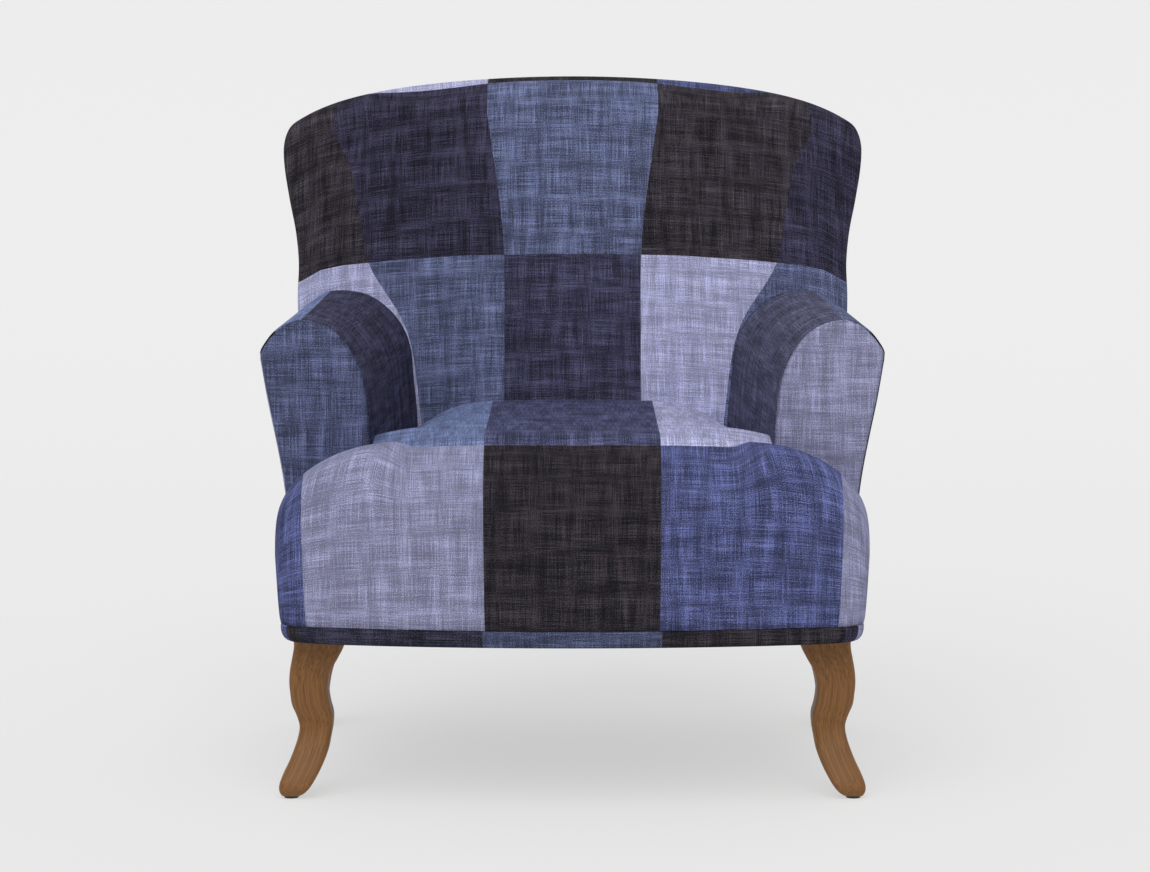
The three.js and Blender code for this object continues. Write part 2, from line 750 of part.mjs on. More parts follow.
add('seat_cover', seatCover, paleDenim);
add('seat_foam', seatFoam, foam);
add('spring_cover', springCover, jute);
add('base_band', baseBand, blackDenim);
add('dust_cover', dustCover, blackCloth);
add('inside_back_cover', insideBackCover, slateDenim);
add('outside_back_panel', outsideBackPanel, inkDenim);
add('back_foam', backFoam, foam);
add('front_seat_rail', frontRail, beech);
add('rear_seat_rail', rearRail, beech);
addPair('seat_rail', sideRail, beech);
addPair('front_corner_block', frontBlock, beech);
addPair('rear_corner_block', rearBlock, beech);
addPair('back_post', backPost, beech);
add('back_top_rail', backTopRail, beech);
add('back_lower_rail', backLowerRail, beech);
addPair('arm_cover', armCover, inkDenim);
addPair('arm_facing', armFacing, slateDenim);
addPair('outside_arm_panel', outsideArmPanel, inkDenim);
addPair('arm_foam', armFoam, foam);
addPair('arm_facing_board', armFacingBoard, beech);
addPair('arm_rail', armRail, beech);
add('front_clip_strip', frontClipStrip, nylon);
add('rear_clip_strip', rearClipStrip, nylon);

for (let i = 0; i < springCount; i += 1) {
  add(`seat_spring_${i + 1}`, seatSpring((i - (springCount - 1) / 2) * springSpacing), springSteel);
}

for (let i = 0; i < 3; i += 1) {
  const middle = (i - 1) * strapSpacing;
  add(`back_upright_strap_${i + 1}`,
    backStrap(strapFront, middle - strapWidth / 2, middle + strapWidth / 2, strapFoot, strapHead), jute);
}
strapLevels.forEach((level, i) => {
  const strap = backStrap(strapRear, -strapReach, strapReach, level, level + strapWidth);
  add(`back_cross_strap_${i + 1}`, strap, jute);
});

addPair('front_leg', frontLeg, stainedBeech);
addPair('rear_leg', rearLeg, stainedBeech);
addPair('front_leg_bolt', bolt(boltX, frontLegY), springSteel);
addPair('rear_leg_bolt', bolt(rearBoltX, rearLegY), springSteel);
addPair('front_foot_glide', glide(frontFoot.x, frontFoot.y), nylon);
addPair('rear_foot_glide', glide(rearFoot.x, rearFoot.y), nylon);

export default chair;
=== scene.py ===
# %% [markdown]
# # A small armchair dressed in patchwork denim
# The frame, springs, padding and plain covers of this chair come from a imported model.
# This lesson builds what the eye sees around it: tight upholstered covers, seams, shaped
# wooden legs and a woven, faded denim for every square of the patchwork.
# Every size below is in millimetres until a mesh is made, because that is how a maker
# would measure the chair. Blender itself gets metres.

# %% Load the fixed frame
import json
import math
import bpy
import numpy as np
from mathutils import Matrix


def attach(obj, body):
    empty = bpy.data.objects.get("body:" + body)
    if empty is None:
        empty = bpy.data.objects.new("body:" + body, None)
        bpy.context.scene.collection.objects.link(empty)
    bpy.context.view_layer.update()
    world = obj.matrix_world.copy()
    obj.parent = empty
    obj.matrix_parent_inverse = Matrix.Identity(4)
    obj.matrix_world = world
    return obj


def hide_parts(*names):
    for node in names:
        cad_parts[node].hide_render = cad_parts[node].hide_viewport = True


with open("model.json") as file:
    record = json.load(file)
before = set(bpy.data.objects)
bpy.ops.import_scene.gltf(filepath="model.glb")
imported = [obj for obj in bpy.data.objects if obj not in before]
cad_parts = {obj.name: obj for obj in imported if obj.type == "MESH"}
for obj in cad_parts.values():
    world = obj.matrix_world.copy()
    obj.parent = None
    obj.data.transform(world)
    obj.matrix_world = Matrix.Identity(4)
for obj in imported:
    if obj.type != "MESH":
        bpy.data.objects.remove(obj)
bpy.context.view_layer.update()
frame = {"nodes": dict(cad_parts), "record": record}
BODY = "root"
MM = 0.001
print("frame nodes:", len(frame["nodes"]))

# %% [markdown]
# ## The camera
# The picture was taken with a long lens from a little above the crest of the back. Three
# readings fix the camera: the focal length in picture points, the height of the eye, and
# the row of the picture on which the horizon lies. The tilt follows from the last one.

# %% Place the camera
PICTURE_WIDTH = 1150
PICTURE_HEIGHT = 872
FOCAL_POINTS = 3356
HORIZON_ROW = 63.3
EYE_HEIGHT = 0.909
EYE_DISTANCE = 4.395
EYE_SIDE = 0.0033
SENSOR = 36.0

camera_data = bpy.data.cameras.new("studio_camera")
camera_data.sensor_width = SENSOR
camera_data.lens = FOCAL_POINTS / PICTURE_WIDTH * SENSOR
camera = bpy.data.objects.new("studio_camera", camera_data)
tilt = math.atan((PICTURE_HEIGHT / 2 - HORIZON_ROW) / FOCAL_POINTS)
camera.location = (EYE_SIDE, -EYE_DISTANCE, EYE_HEIGHT)
camera.rotation_euler = (math.pi / 2 - tilt, 0, 0)
bpy.context.collection.objects.link(camera)
bpy.context.scene.camera = camera
print("lens mm:", round(camera_data.lens, 1))

# %% [markdown]
# ## Meshes from grids
# Tight upholstery is a set of smooth sheets that meet at seams. The simplest honest way to
# build such a sheet is a grid of points from a formula, with grid lines along the seams, so
# that each square of cloth owns whole faces and its border stays sharp. The helper below
# takes such a grid, a material number for each face and the cloth's own measure across and
# along, and gives the sheet its real thickness with a Solidify modifier.

# %% A helper for gridded pieces
CLOTH = 2.0


def add_piece(name, points, faces, materials, face_materials, weave=None, thickness=0.0):
    mesh = bpy.data.meshes.new(name)
    mesh.from_pydata((np.asarray(points) * MM).tolist(), [], faces)
    for material in materials:
        mesh.materials.append(material)
    mesh.polygons.foreach_set("material_index", list(face_materials))
    mesh.polygons.foreach_set("use_smooth", [True] * len(faces))
    if weave is not None:
        layer = mesh.uv_layers.new(name="weave")
        corners = np.array([corner for face in faces for corner in face])
        layer.data.foreach_set("uv", (np.asarray(weave)[corners] * MM).ravel())
    mesh.update()
    piece = bpy.data.objects.new(name, mesh)
    bpy.context.collection.objects.link(piece)
    if thickness:
        shell = piece.modifiers.new("cloth thickness", "SOLIDIFY")
        shell.thickness = thickness * MM
        shell.offset = -1
    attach(piece, BODY)
    print(name, "faces:", len(faces))
    return piece


def grid_faces(columns, rows, start=0, flip=False):
    faces = []
    for j in range(rows):
        for i in range(columns):
            a = start + j * (columns + 1) + i
            face = [a, a + 1, a + columns + 2, a + columns + 1]
            faces.append(face[::-1] if flip else face)
    return faces


def mirrored(points, side):
    out = np.array(points, float)
    out[..., 0] *= side
    return out


def arc_lengths(points, axis):
    steps = np.linalg.norm(np.diff(points, axis=axis), axis=-1)
    start = np.zeros_like(np.take(steps, [0], axis=axis))
    return np.cumsum(np.concatenate([start, steps], axis=axis), axis=axis)


def weave_of(points):
    """Distance across and along a grid of points (rows, columns, 3), measured on the cloth."""
    across = arc_lengths(points, 1)
    across = across - across[:, [across.shape[1] // 2]]
    along = arc_lengths(points, 0).mean(axis=1, keepdims=True) + np.zeros_like(across)
    return np.stack([across, along], axis=2)


# %% [markdown]
# ## Curves shared by several pieces
# A shoulder is the quarter round by which a padded edge falls away. A smooth curve through a
# few measured points gives outlines such as the waisted side of the back.

# %% Shoulders and smooth curves
def shoulder(distance, width, drop):
    t = np.clip(1 - distance / width, 0, 1)
    return drop * (1 - np.sqrt(1 - t * t))


def smooth_step(t):
    t = np.clip(t, 0, 1)
    return t * t * (3 - 2 * t)


def mix(a, b, t):
    return a + (b - a) * t


def both_sides(right):
    return np.concatenate([-right[::-1], [0], right])


def smooth_curve(xs, ys, x):
    """A curve through the points (xs, ys) with no corners, read at x."""
    xs = np.asarray(xs, float)
    ys = np.asarray(ys, float)
    slopes = np.gradient(ys, xs)
    x = np.clip(x, xs[0], xs[-1])
    k = np.clip(np.searchsorted(xs, x) - 1, 0, len(xs) - 2)
    h = xs[k + 1] - xs[k]
    t = (x - xs[k]) / h
    return ((2 * t**3 - 3 * t**2 + 1) * ys[k] + (t**3 - 2 * t**2 + t) * h * slopes[k]
            + (3 * t**2 - 2 * t**3) * ys[k + 1] + (t**3 - t**2) * h * slopes[k + 1])


def path_parts(points, corners, steps):
    """Even steps along a smooth path, with one step exactly at each listed corner."""
    points = np.asarray(points, float)
    knots = np.concatenate([[0], np.cumsum(np.linalg.norm(np.diff(points, axis=0), axis=1) ** 0.5)])
    stops = [0, *corners, len(points) - 1]
    parts = []
    for first, last, count in zip(stops, stops[1:], steps):
        fine = np.linspace(knots[first], knots[last], 300)
        path = np.stack([smooth_curve(knots, points[:, c], fine) for c in range(2)], axis=1)
        length = arc_lengths(path, 0)
        even = np.linspace(0, length[-1], count + 1)
        part = np.stack([np.interp(even, length, path[:, c]) for c in range(2)], axis=1)
        parts.append(part if not parts else part[1:])
    return np.concatenate(parts)


# %% [markdown]
# ## Denim
# Faded denim has four scales of detail. Single threads run up and across the cloth and are
# darker or paler by chance. Thicker slubs show as long streaks. Washing leaves soft bands a
# finger wide, and the twill gives a fine grain. Each scale is a noise that is read in the
# cloth's own measure, so the weave has one real size everywhere and turns with each panel.

# %% Colour helper
def srgb(red, green, blue):
    channels = []
    for value in (red, green, blue):
        c = value / 255
        channels.append(c / 12.92 if c <= 0.04045 else ((c + 0.055) / 1.055) ** 2.4)
    return (*channels, 1.0)


class Graph:
    """Short names for the few node types that the finishes use."""

    def __init__(self, name):
        self.material = bpy.data.materials.new(name)
        self.material.use_nodes = True
        self.nodes = self.material.node_tree.nodes
        self.links = self.material.node_tree.links
        self.surface = self.nodes["Principled BSDF"]

    def add(self, kind, inputs=None, **settings):
        node = self.nodes.new(kind)
        for key, value in settings.items():
            setattr(node, key, value)
        for key, value in (inputs or {}).items():
            if isinstance(value, bpy.types.NodeSocket):
                self.links.new(value, node.inputs[key])
            else:
                node.inputs[key].default_value = value
        return node

    def math(self, operation, *values, clamp=False):
        node = self.add("ShaderNodeMath", dict(enumerate(values)), operation=operation, use_clamp=clamp)
        return node.outputs[0]

    def noise(self, place, stretch, detail=2.0, roughness=0.5):
        scaled = self.add("ShaderNodeVectorMath", {0: place, 1: stretch}, operation="MULTIPLY")
        texture = self.add("ShaderNodeTexNoise", {"Vector": scaled.outputs[0], "Scale": 1.0,
                                                  "Detail": detail, "Roughness": roughness})
        return texture.outputs["Fac"]

    def ramp(self, value, low, high):
        node = self.add("ShaderNodeMapRange", {"Value": value, "From Min": low, "From Max": high,
                                               "To Min": 0.0, "To Max": 1.0})
        return node.outputs["Result"]

    def blend(self, factor, first, second):
        node = self.add("ShaderNodeMix", data_type="RGBA")
        self.links.new(factor, node.inputs["Factor"])
        for socket, value in ((node.inputs[6], first), (node.inputs[7], second)):
            if isinstance(value, bpy.types.NodeSocket):
                self.links.new(value, socket)
            else:
                socket.default_value = value
        return node.outputs[2]

    def finish(self, color, roughness, height=None, relief=0.0002, **constants):
        if isinstance(color, bpy.types.NodeSocket):
            self.links.new(color, self.surface.inputs["Base Color"])
        else:
            self.surface.inputs["Base Color"].default_value = color
        self.surface.inputs["Roughness"].default_value = roughness
        for key, value in constants.items():
            self.surface.inputs[key.replace("_", " ")].default_value = value
        if height is not None:
            bump = self.add("ShaderNodeBump", {"Strength": 1.0, "Distance": relief, "Height": height})
            self.links.new(bump.outputs[0], self.surface.inputs["Normal"])
        return self.material


# %% The denim finish
THREAD = 0.75
THREAD_RUN = 45.0
SLUB = 1.7
SLUB_RUN = 70.0
BAND = 13.0
BAND_RUN = 90.0
GRAIN = 1.0
THREAD_WEIGHT = 1.5
SLUB_WEIGHT = 0.3
BAND_WEIGHT = 0.9
GRAIN_WEIGHT = 2.9
MIDDLE_TONE = 0.45
DEEPEST = 0.38
MOST_FADED = 0.95


def crossed(g, place, width, run, detail):
    """Upright streaks plus level streaks of one width, as one noise round zero."""
    upright = g.noise(place, (1000 / width, 1000 / run, 1.0), detail, 0.5)
    level = g.noise(place, (1000 / run, 1000 / width, 1.0), detail, 0.5)
    return g.math("ADD", g.math("ADD", upright, level), -1.0)


def denim(name, mean, contrast, warmth, seed):
    """A cloth whose average is the sRGB colour mean, from deep ground to faded slubs."""
    deep = srgb(*[channel * (1 - DEEPEST * contrast) for channel in mean])
    middle = srgb(*[channel * 0.97 for channel in mean])
    faded = srgb(*[channel * (1 + MOST_FADED * contrast) + warm for channel, warm in zip(mean, warmth)])
    g = Graph(name)
    uv = g.add("ShaderNodeUVMap", uv_map="weave").outputs[0]
    offset = (0.37 * seed, 0.91 * seed, 0.0)
    place = g.add("ShaderNodeVectorMath", {0: uv, 1: offset}, operation="ADD").outputs[0]
    threads = crossed(g, place, THREAD, THREAD_RUN, 1.0)
    slubs = crossed(g, place, SLUB, SLUB_RUN, 1.0)
    bands = crossed(g, place, BAND, BAND_RUN, 2.0)
    grain = g.noise(place, (1000 / GRAIN, 1000 / GRAIN, 1.0), 1.0)
    value = g.math("MULTIPLY_ADD", threads, THREAD_WEIGHT, MIDDLE_TONE)
    value = g.math("MULTIPLY_ADD", slubs, SLUB_WEIGHT, value)
    value = g.math("MULTIPLY_ADD", bands, BAND_WEIGHT, value)
    grain = g.math("MULTIPLY_ADD", grain, GRAIN_WEIGHT, -GRAIN_WEIGHT / 2)
    value = g.math("ADD", value, grain, clamp=True)
    color = g.blend(g.ramp(value, 0.0, 0.5), deep, middle)
    color = g.blend(g.ramp(value, 0.5, 1.0), color, faded)
    return g.finish(color, 0.95, threads, 0.00012, Specular_IOR_Level=0.06)


NEUTRAL = (0, 0, 0)
DENIMS = {
    "black": denim("black_denim", (40, 39, 44), 1.0, (14, 7, 8), 1),
    # This darker copy of the black denim is painted shade.
    "black_in_shade": denim("black_in_shade_denim", (34, 33, 37), 1.0, (12, 7, 8), 9),
    # This darker copy of the ink denim is painted shade, used on the band's front.
    "ink_in_shade": denim("ink_in_shade_denim", (37, 37, 47), 1.0, (6, 6, 10), 10),
    "ink": denim("ink_denim", (41, 40, 52), 1.0, (8, 6, 12), 2),
    "navy": denim("navy_denim", (51, 51, 68), 0.9, (4, 4, 8), 11),
    "smoke": denim("smoke_denim", (70, 71, 91), 0.8, NEUTRAL, 8),
    "indigo": denim("indigo_denim", (62, 64, 89), 0.8, NEUTRAL, 3),
    # This darker copy of the slate denim is painted shade, used on the left arm's facing.
    "slate_in_shade": denim("slate_in_shade_denim", (69, 74, 99), 0.8, NEUTRAL, 12),
    # This still darker copy of the slate denim is painted shade, used on the middle of the band.
    "slate_in_deep_shade": denim("slate_in_deep_shade_denim", (62, 67, 89), 0.8, NEUTRAL, 14),
    "slate": denim("slate_denim", (77, 83, 109), 0.8, NEUTRAL, 4),
    "steel": denim("steel_denim", (96, 107, 142), 0.55, NEUTRAL, 5),
    "royal": denim("royal_denim", (66, 71, 105), 0.85, NEUTRAL, 6),
    "lavender": denim("lavender_denim", (124, 125, 152), 0.45, NEUTRAL, 7),
    # This lighter copy of the lavender denim is painted light, used on the back and the seat's rear.
    "lavender_in_light": denim("lavender_in_light_denim", (151, 152, 183), 0.45, NEUTRAL, 13),
}
denim_names = list(DENIMS)
denim_list = list(DENIMS.values())
print("denims:", ", ".join(denim_names))


def denim_index(name):
    return denim_names.index(name)


# %% [markdown]
# ## The back
# The back is one padded form: wrapped in plan like a barrel, waisted just above the arms,
# leaning rearward, with an arched and rounded crest. Its inner face and its outer face are
# two sheets over one grid, and a rounding draws them together at the sides and the crest.
# The front cover takes the inner sheet, all but the middle of its lowest rows under the seat, and
# folds a hem round to the rear. The outside panel fills the rest of the rear.

# %% The back's curves
CREST = 891.0
CREST_SAG = 45.0
CREST_CORNER_SAG = 31.0
CREST_HALF = 393.0
CREST_ROUND = 42.0
BASE_BOTTOM = 202.0
BAND_TOP = 223.6
CLEARANCE = 0.3
FRONT_Y = -375.0
REAR_Y = 290.0
SEAT_LEVEL = 450.0
LEAN_TOP = 890.0
INSIDE_Y = 150.0
INSIDE_LEAN = 115.0
INSIDE_WRAP = 100.0
INSIDE_WRAP_HALF = 350.0
OUTSIDE_LEAN = 85.0
OUTSIDE_WRAP = 120.0
OUTSIDE_WRAP_HALF = 390.0
BACK_HALF_LEVELS = (200, 450, 601, 640, 682, 724, 778, 810, 900)
BACK_HALF_WIDTHS = (350, 362, 372, 371, 375, 383, 391, 392, 392)


def back_half(z):
    return smooth_curve(BACK_HALF_LEVELS, BACK_HALF_WIDTHS, z)


def crest(x):
    u = np.minimum(np.abs(x) / CREST_HALF, 1)
    return CREST - CREST_SAG * u**2 - CREST_CORNER_SAG * u**8


def inside_back_y(x, z):
    lean = INSIDE_Y + INSIDE_LEAN * (z - SEAT_LEVEL) / (LEAN_TOP - SEAT_LEVEL)
    return lean - INSIDE_WRAP * (np.abs(x) / INSIDE_WRAP_HALF) ** 2.2


def outside_back_y(x, z):
    lean = OUTSIDE_LEAN * (np.maximum(z - BASE_BOTTOM, 0) / (LEAN_TOP - BASE_BOTTOM)) ** 1.2
    return REAR_Y + lean - OUTSIDE_WRAP * (np.abs(x) / OUTSIDE_WRAP_HALF) ** 2.5


def edge_round(across):
    return np.maximum(1 - np.abs(across) ** 7, 0) ** (1 / 3)


def back_front_face(x, z):
    """The padded inner face, with its rounded side edges, at a place x, z."""
    inner = inside_back_y(x, z)
    outer = outside_back_y(x, z)
    half = (outer - inner) / 2 * edge_round(np.clip(np.abs(x) / back_half(z), 0, 1))
    return (inner + outer) / 2 - half


# %% [markdown]
# ## Squares of the back
# The front of the back has two rows of squares: five across the top and five below. The
# seams lean a little, because the cloth was cut flat and pulled over a curved back. Each
# seam is a short curve from top to bottom, and the grid's columns are laid between them.

# %% The back's seams
SEAM_LEVELS = (400, 460, 500, 540, 575, 610, 645, 700, 760, 805, 850, 900)
INNER_SEAM = (93, 93, 93, 93, 93, 93, 93.5, 97.5, 105.5, 112, 118, 120)
OUTER_SEAM = (201, 208, 213, 220.5, 234, 255, 274.5, 287, 297, 306, 325, 338)
ROW_SEAM_X = (0, 150, 250, 310, 340, 366, 392)
ROW_SEAM_Z = (650, 648, 643, 638, 632, 617, 606)
STRIP_X = (0, 90, 117, 160, 200, 240, 270, 286)
STRIP_DROP = (5.2, 5.6, 6.2, 8.2, 8.8, 6.4, 2.4, 0.2)
SQUARE_STEPS = 12
SIDE_STEPS = 24


def back_columns(z):
    """Grid columns at a level z: even steps between the seams, closer at the rounded sides."""
    half = back_half(z)
    inner = smooth_curve(SEAM_LEVELS, INNER_SEAM, z)
    outer = smooth_curve(SEAM_LEVELS, OUTER_SEAM, z)
    side = np.sin(np.linspace(0, 1, SIDE_STEPS + 1) * math.pi / 2)
    right = np.concatenate([np.linspace(0, inner, SQUARE_STEPS + 1)[1:],
                            np.linspace(inner, outer, SQUARE_STEPS + 1)[1:],
                            mix(outer, half, side)[1:]])
    return both_sides(right)


COLUMN_COUNT = 2 * (2 * SQUARE_STEPS + SIDE_STEPS)
COLUMN_BREAKS = tuple(SIDE_STEPS + step * SQUARE_STEPS for step in (0, 1, 3, 4))
ROW_LEVEL = 650
LOW_ROWS = 38
HIGH_ROWS = 32
TURN_ROWS = 22
STRIP_ROW = 12


def crest_turn(t, x):
    """Angle round the crest at a step t, so that the strip's seam is one row of the grid."""
    drop = smooth_curve(STRIP_X, STRIP_DROP, np.minimum(np.abs(x), STRIP_X[-1]))
    seam = np.arcsin(1 - drop / CREST_ROUND)
    seam_step = STRIP_ROW / TURN_ROWS
    before = seam * t / seam_step
    after = mix(seam, math.pi / 2, (t - seam_step) / (1 - seam_step))
    return np.where(t <= seam_step, before, after)


def back_sheets(low):
    """Front and rear sheets of the back, as grids of points (rows, columns, 3)."""
    fronts = []
    rears = []
    plan = ([("low", t) for t in np.linspace(0, 1, LOW_ROWS + 1)]
            + [("high", t) for t in np.linspace(0, 1, HIGH_ROWS + 1)[1:]]
            + [("turn", t) for t in np.linspace(0, 1, TURN_ROWS + 1)[1:]])
    turn_start = CREST - CREST_ROUND
    spans = {"low": (low, ROW_LEVEL), "high": (ROW_LEVEL, turn_start), "turn": (turn_start, turn_start)}
    for part, t in plan:
        level = mix(*spans[part], t)
        x = back_columns(level)
        across = x / back_half(level)
        row_z = np.interp(np.abs(x), ROW_SEAM_X, ROW_SEAM_Z)
        top_z = crest(across * (CREST_HALF - CREST_ROUND / 2)) - CREST_ROUND
        angle = crest_turn(t, x) if part == "turn" else 0 * x
        if part == "low":
            z = mix(low, row_z, t)
        elif part == "high":
            z = mix(row_z, top_z, t)
        else:
            z = top_z + CREST_ROUND * np.sin(angle)
        x = across * (back_half(z) - 0.5 * CREST_ROUND * across**2 * (1 - np.cos(angle)))
        inner = inside_back_y(x, z)
        outer = outside_back_y(x, z)
        half = (outer - inner) / 2 * edge_round(across) * np.cos(angle)
        middle = (inner + outer) / 2
        fronts.append(np.stack([x, middle - half, z], axis=1))
        rears.append(np.stack([x, middle + half, z], axis=1))
    return np.array(fronts), np.array(rears)


# %% [markdown]
# The rear hem: the front cover carries on over the crest and round the sides by a few
# centimetres, and the outside panel closes the rear. Both sheets come from one grid, so the two
# covers meet edge to edge.

# %% Build the inside back cover and the outside back panel
HEM_COLUMNS = 12
HEM_ROWS = 12
TUCK_COLUMNS = 10
TUCK_LEVEL = 330
REAR_LOW_ROWS = 16
REAR_MIDDLE_ROWS = LOW_ROWS + 4

front_sheet, rear_sheet = back_sheets(BAND_TOP + CLEARANCE)
row_count = front_sheet.shape[0] - 1
STRIP_BREAK = LOW_ROWS + HIGH_ROWS + STRIP_ROW

TOP_SQUARES = ("black", "ink", "slate", "black", "ink")
# In the next two rows the lighter copy of lavender is painted light and the darker copy of black is painted
# shade.
LOW_SQUARES = ("lavender_in_light", "slate", "navy", "lavender_in_light", "slate")
STRIP_SQUARES = ("lavender_in_light", "lavender_in_light", "black_in_shade", "royal", "royal")
REAR_TOP_SQUARES = ("slate", "black", "lavender", "ink", "royal")
REAR_MIDDLE_SQUARES = ("ink", "royal", "black", "slate", "lavender")
REAR_LOW_SQUARES = ("lavender", "ink", "slate", "black", "indigo")


def square_of(column, squares):
    return denim_index(squares[int(np.searchsorted(COLUMN_BREAKS, column, side="right"))])


def build_back():
    rows = row_count + 1
    columns = COLUMN_COUNT + 1
    points = np.concatenate([front_sheet.reshape(-1, 3), rear_sheet.reshape(-1, 3)])
    front_weave = weave_of(front_sheet)
    rear_weave = weave_of(rear_sheet)
    rear_weave[..., 0] *= -1
    weave = np.concatenate([front_weave.reshape(-1, 2), rear_weave.reshape(-1, 2)])
    offset = rows * columns
    cover = []
    cover_squares = []
    panel = []
    panel_squares = []
    low_row = int(np.searchsorted(front_sheet[:, COLUMN_COUNT // 2, 2], TUCK_LEVEL))
    for j in range(row_count):
        for i in range(COLUMN_COUNT):
            a = j * columns + i
            at_side = i < TUCK_COLUMNS or i >= COLUMN_COUNT - TUCK_COLUMNS
            if j >= low_row or at_side:
                cover.append([a, a + 1, a + columns + 1, a + columns])
                if j < LOW_ROWS:
                    squares = LOW_SQUARES
                elif j < STRIP_BREAK:
                    squares = TOP_SQUARES
                else:
                    squares = STRIP_SQUARES
                cover_squares.append(square_of(i, squares))
            b = a + offset
            rear_face = [b, b + columns, b + columns + 1, b + 1]
            in_hem = i < HEM_COLUMNS or i >= COLUMN_COUNT - HEM_COLUMNS or j >= row_count - HEM_ROWS
            if in_hem:
                cover.append(rear_face)
                squares = LOW_SQUARES if j < LOW_ROWS else TOP_SQUARES
                if j >= row_count - HEM_ROWS:
                    squares = STRIP_SQUARES
                cover_squares.append(square_of(i, squares))
            else:
                panel.append(rear_face)
                if j < REAR_LOW_ROWS:
                    squares = REAR_LOW_SQUARES
                elif j < REAR_MIDDLE_ROWS:
                    squares = REAR_MIDDLE_SQUARES
                else:
                    squares = REAR_TOP_SQUARES
                panel_squares.append(square_of(i, squares))
    return points, weave, cover, cover_squares, panel, panel_squares


def keep_used(points, weave, faces):
    used = sorted({corner for face in faces for corner in face})
    renumber = {old: new for new, old in enumerate(used)}
    return points[used], weave[used], [[renumber[c] for c in face] for face in faces]


back_points, back_weave, cover_faces, cover_squares, panel_faces, panel_squares = build_back()
points, weave, faces = keep_used(back_points, back_weave, cover_faces)
inside_back = add_piece("inside_back_upholstery", points, faces, denim_list, cover_squares, weave,
                        CLOTH)
points, weave, faces = keep_used(back_points, back_weave, panel_faces)
outside_back = add_piece("outside_back_upholstery", points, faces, denim_list, panel_squares, weave,
                         CLOTH)
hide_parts("inside_back_cover")
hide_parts("outside_back_panel")

# %% [markdown]
# ## The seat
# The seat is one tight T: a round nose at the front, two ears that stand in front of the
# arms, and a crowned middle that runs back between them. Its height is a formula: a crown,
# less the fall of the shoulders at the sides, less the fall of the nose at the front.

# %% The seat's form
SEAT_CROWN = 455.0
MIDDLE_CROWN_DROP = 8.0
EAR_CROWN_DROP = 22.0
EAR_HALF = 366.0
EAR_BACK_Y = -240.0
EAR_FALL = 19.0
EAR_FALL_START = 110.0
EAR_FALL_END = 258.0
BASE_HALF = 359.5
BASE_REAR_HALF = 348.0
BASE_CORNER = 28.0
BOW_RADIUS = 1600.0
FACING_Y = -235.0
SEAM_X = 108.0
EAR_SEAM_X = 331.0
NOSE_SEAM = 49.0
NOSE_DEPTH = 88.0
NOSE_DROP = 92.0
SEAT_FOOT = BAND_TOP + CLEARANCE
EAR_SEAM_START = 195.0
MIDDLE_SHOULDER = (90.0, 42.0)
EAR_SHOULDER = (150.0, 88.0)
EAR_AHEAD = 60.0
EAR_BLEND = 80.0
SETTLE_AHEAD = 16.0
WALL_EDGE = (5.0, 2.0)
ARM_INSIDE_FRONT = 253.5
ARM_INSIDE_REAR = 206.5
ARM_INSIDE_RUN = 385.0


def bow(x):
    return FRONT_Y + x * x / (2 * BOW_RADIUS)


def seat_front(x):
    over = np.clip(np.abs(x) - (EAR_HALF - BASE_CORNER), 0, BASE_CORNER)
    return bow(x) + shoulder(BASE_CORNER - over, BASE_CORNER, BASE_CORNER)


def arm_inside_x(y):
    return mix(ARM_INSIDE_FRONT, ARM_INSIDE_REAR, np.clip((y - FACING_Y) / ARM_INSIDE_RUN, 0, 1))


def seat_height(x, y, half):
    to_ear = smooth_step((EAR_BACK_Y + EAR_AHEAD - y) / EAR_BLEND)
    settled = smooth_step((y - EAR_BACK_Y + SETTLE_AHEAD) / EAR_BLEND)
    crown = mix(MIDDLE_CROWN_DROP, EAR_CROWN_DROP, to_ear) * np.abs(x / half) ** 3
    edge = half - np.abs(x)
    side = mix(shoulder(edge, *MIDDLE_SHOULDER), shoulder(edge, *EAR_SHOULDER), to_ear)
    behind_nose = smooth_step((y - bow(x) - NOSE_SEAM) / (EAR_BACK_Y - FRONT_Y - NOSE_SEAM))
    outward = smooth_step((np.abs(x) - EAR_FALL_START) / (EAR_FALL_END - EAR_FALL_START))
    fall = EAR_FALL * (1 - settled) * behind_nose * outward
    nose = shoulder(y - seat_front(x), NOSE_DEPTH, NOSE_DROP)
    return SEAT_CROWN - crown - fall - np.hypot(side, nose)


# %% [markdown]
# The T is made of two grids that share one row. The front grid has the nose and the ears and
# goes down to the band. The rear grid runs back between the arms. The ears then get a side
# wall and a back wall, where the boxing of a real T seat is sewn.

# %% Build the seat cover
MIDDLE_STEPS = 11
ARM_SIDE_STEPS = 18
EAR_STEPS = 9
EAR_EDGE_STEPS = 14
NARROW_START = 253.0
NARROW_BLEND = 20.0
NOSE_ROWS = 14
TOP_ROWS = 26
EAR_ROWS = 18
REAR_ROWS = 43
REAR_EDGE = (7.0, 2.5)
REAR_RUN = 380.0
NARROW_RUN = 90.0
SEAT_TUCK_LEVEL = 452.0
EAR_SEAM_GAP = 8.0
WALL_OVERLAP = 8.0
WALL_ROWS = 12
SIDE_WALL_STEPS = 8
BACK_WALL_STEPS = 21


def rounding_steps(start, end, count):
    return mix(start, end, np.sin(np.linspace(0, 1, count + 1) * math.pi / 2))[1:]


FRONT_COLUMNS = both_sides(np.concatenate([
    np.linspace(0, SEAM_X, MIDDLE_STEPS + 1)[1:],
    rounding_steps(SEAM_X, NARROW_START, ARM_SIDE_STEPS),
    np.linspace(NARROW_START, EAR_SEAM_X, EAR_STEPS + 1)[1:],
    rounding_steps(EAR_SEAM_X, EAR_HALF, EAR_EDGE_STEPS),
]))


def lean_in(t):
    """The ears' sides stand a little proud of the base."""
    return mix(BASE_HALF / EAR_HALF, 1.0, t**0.6)


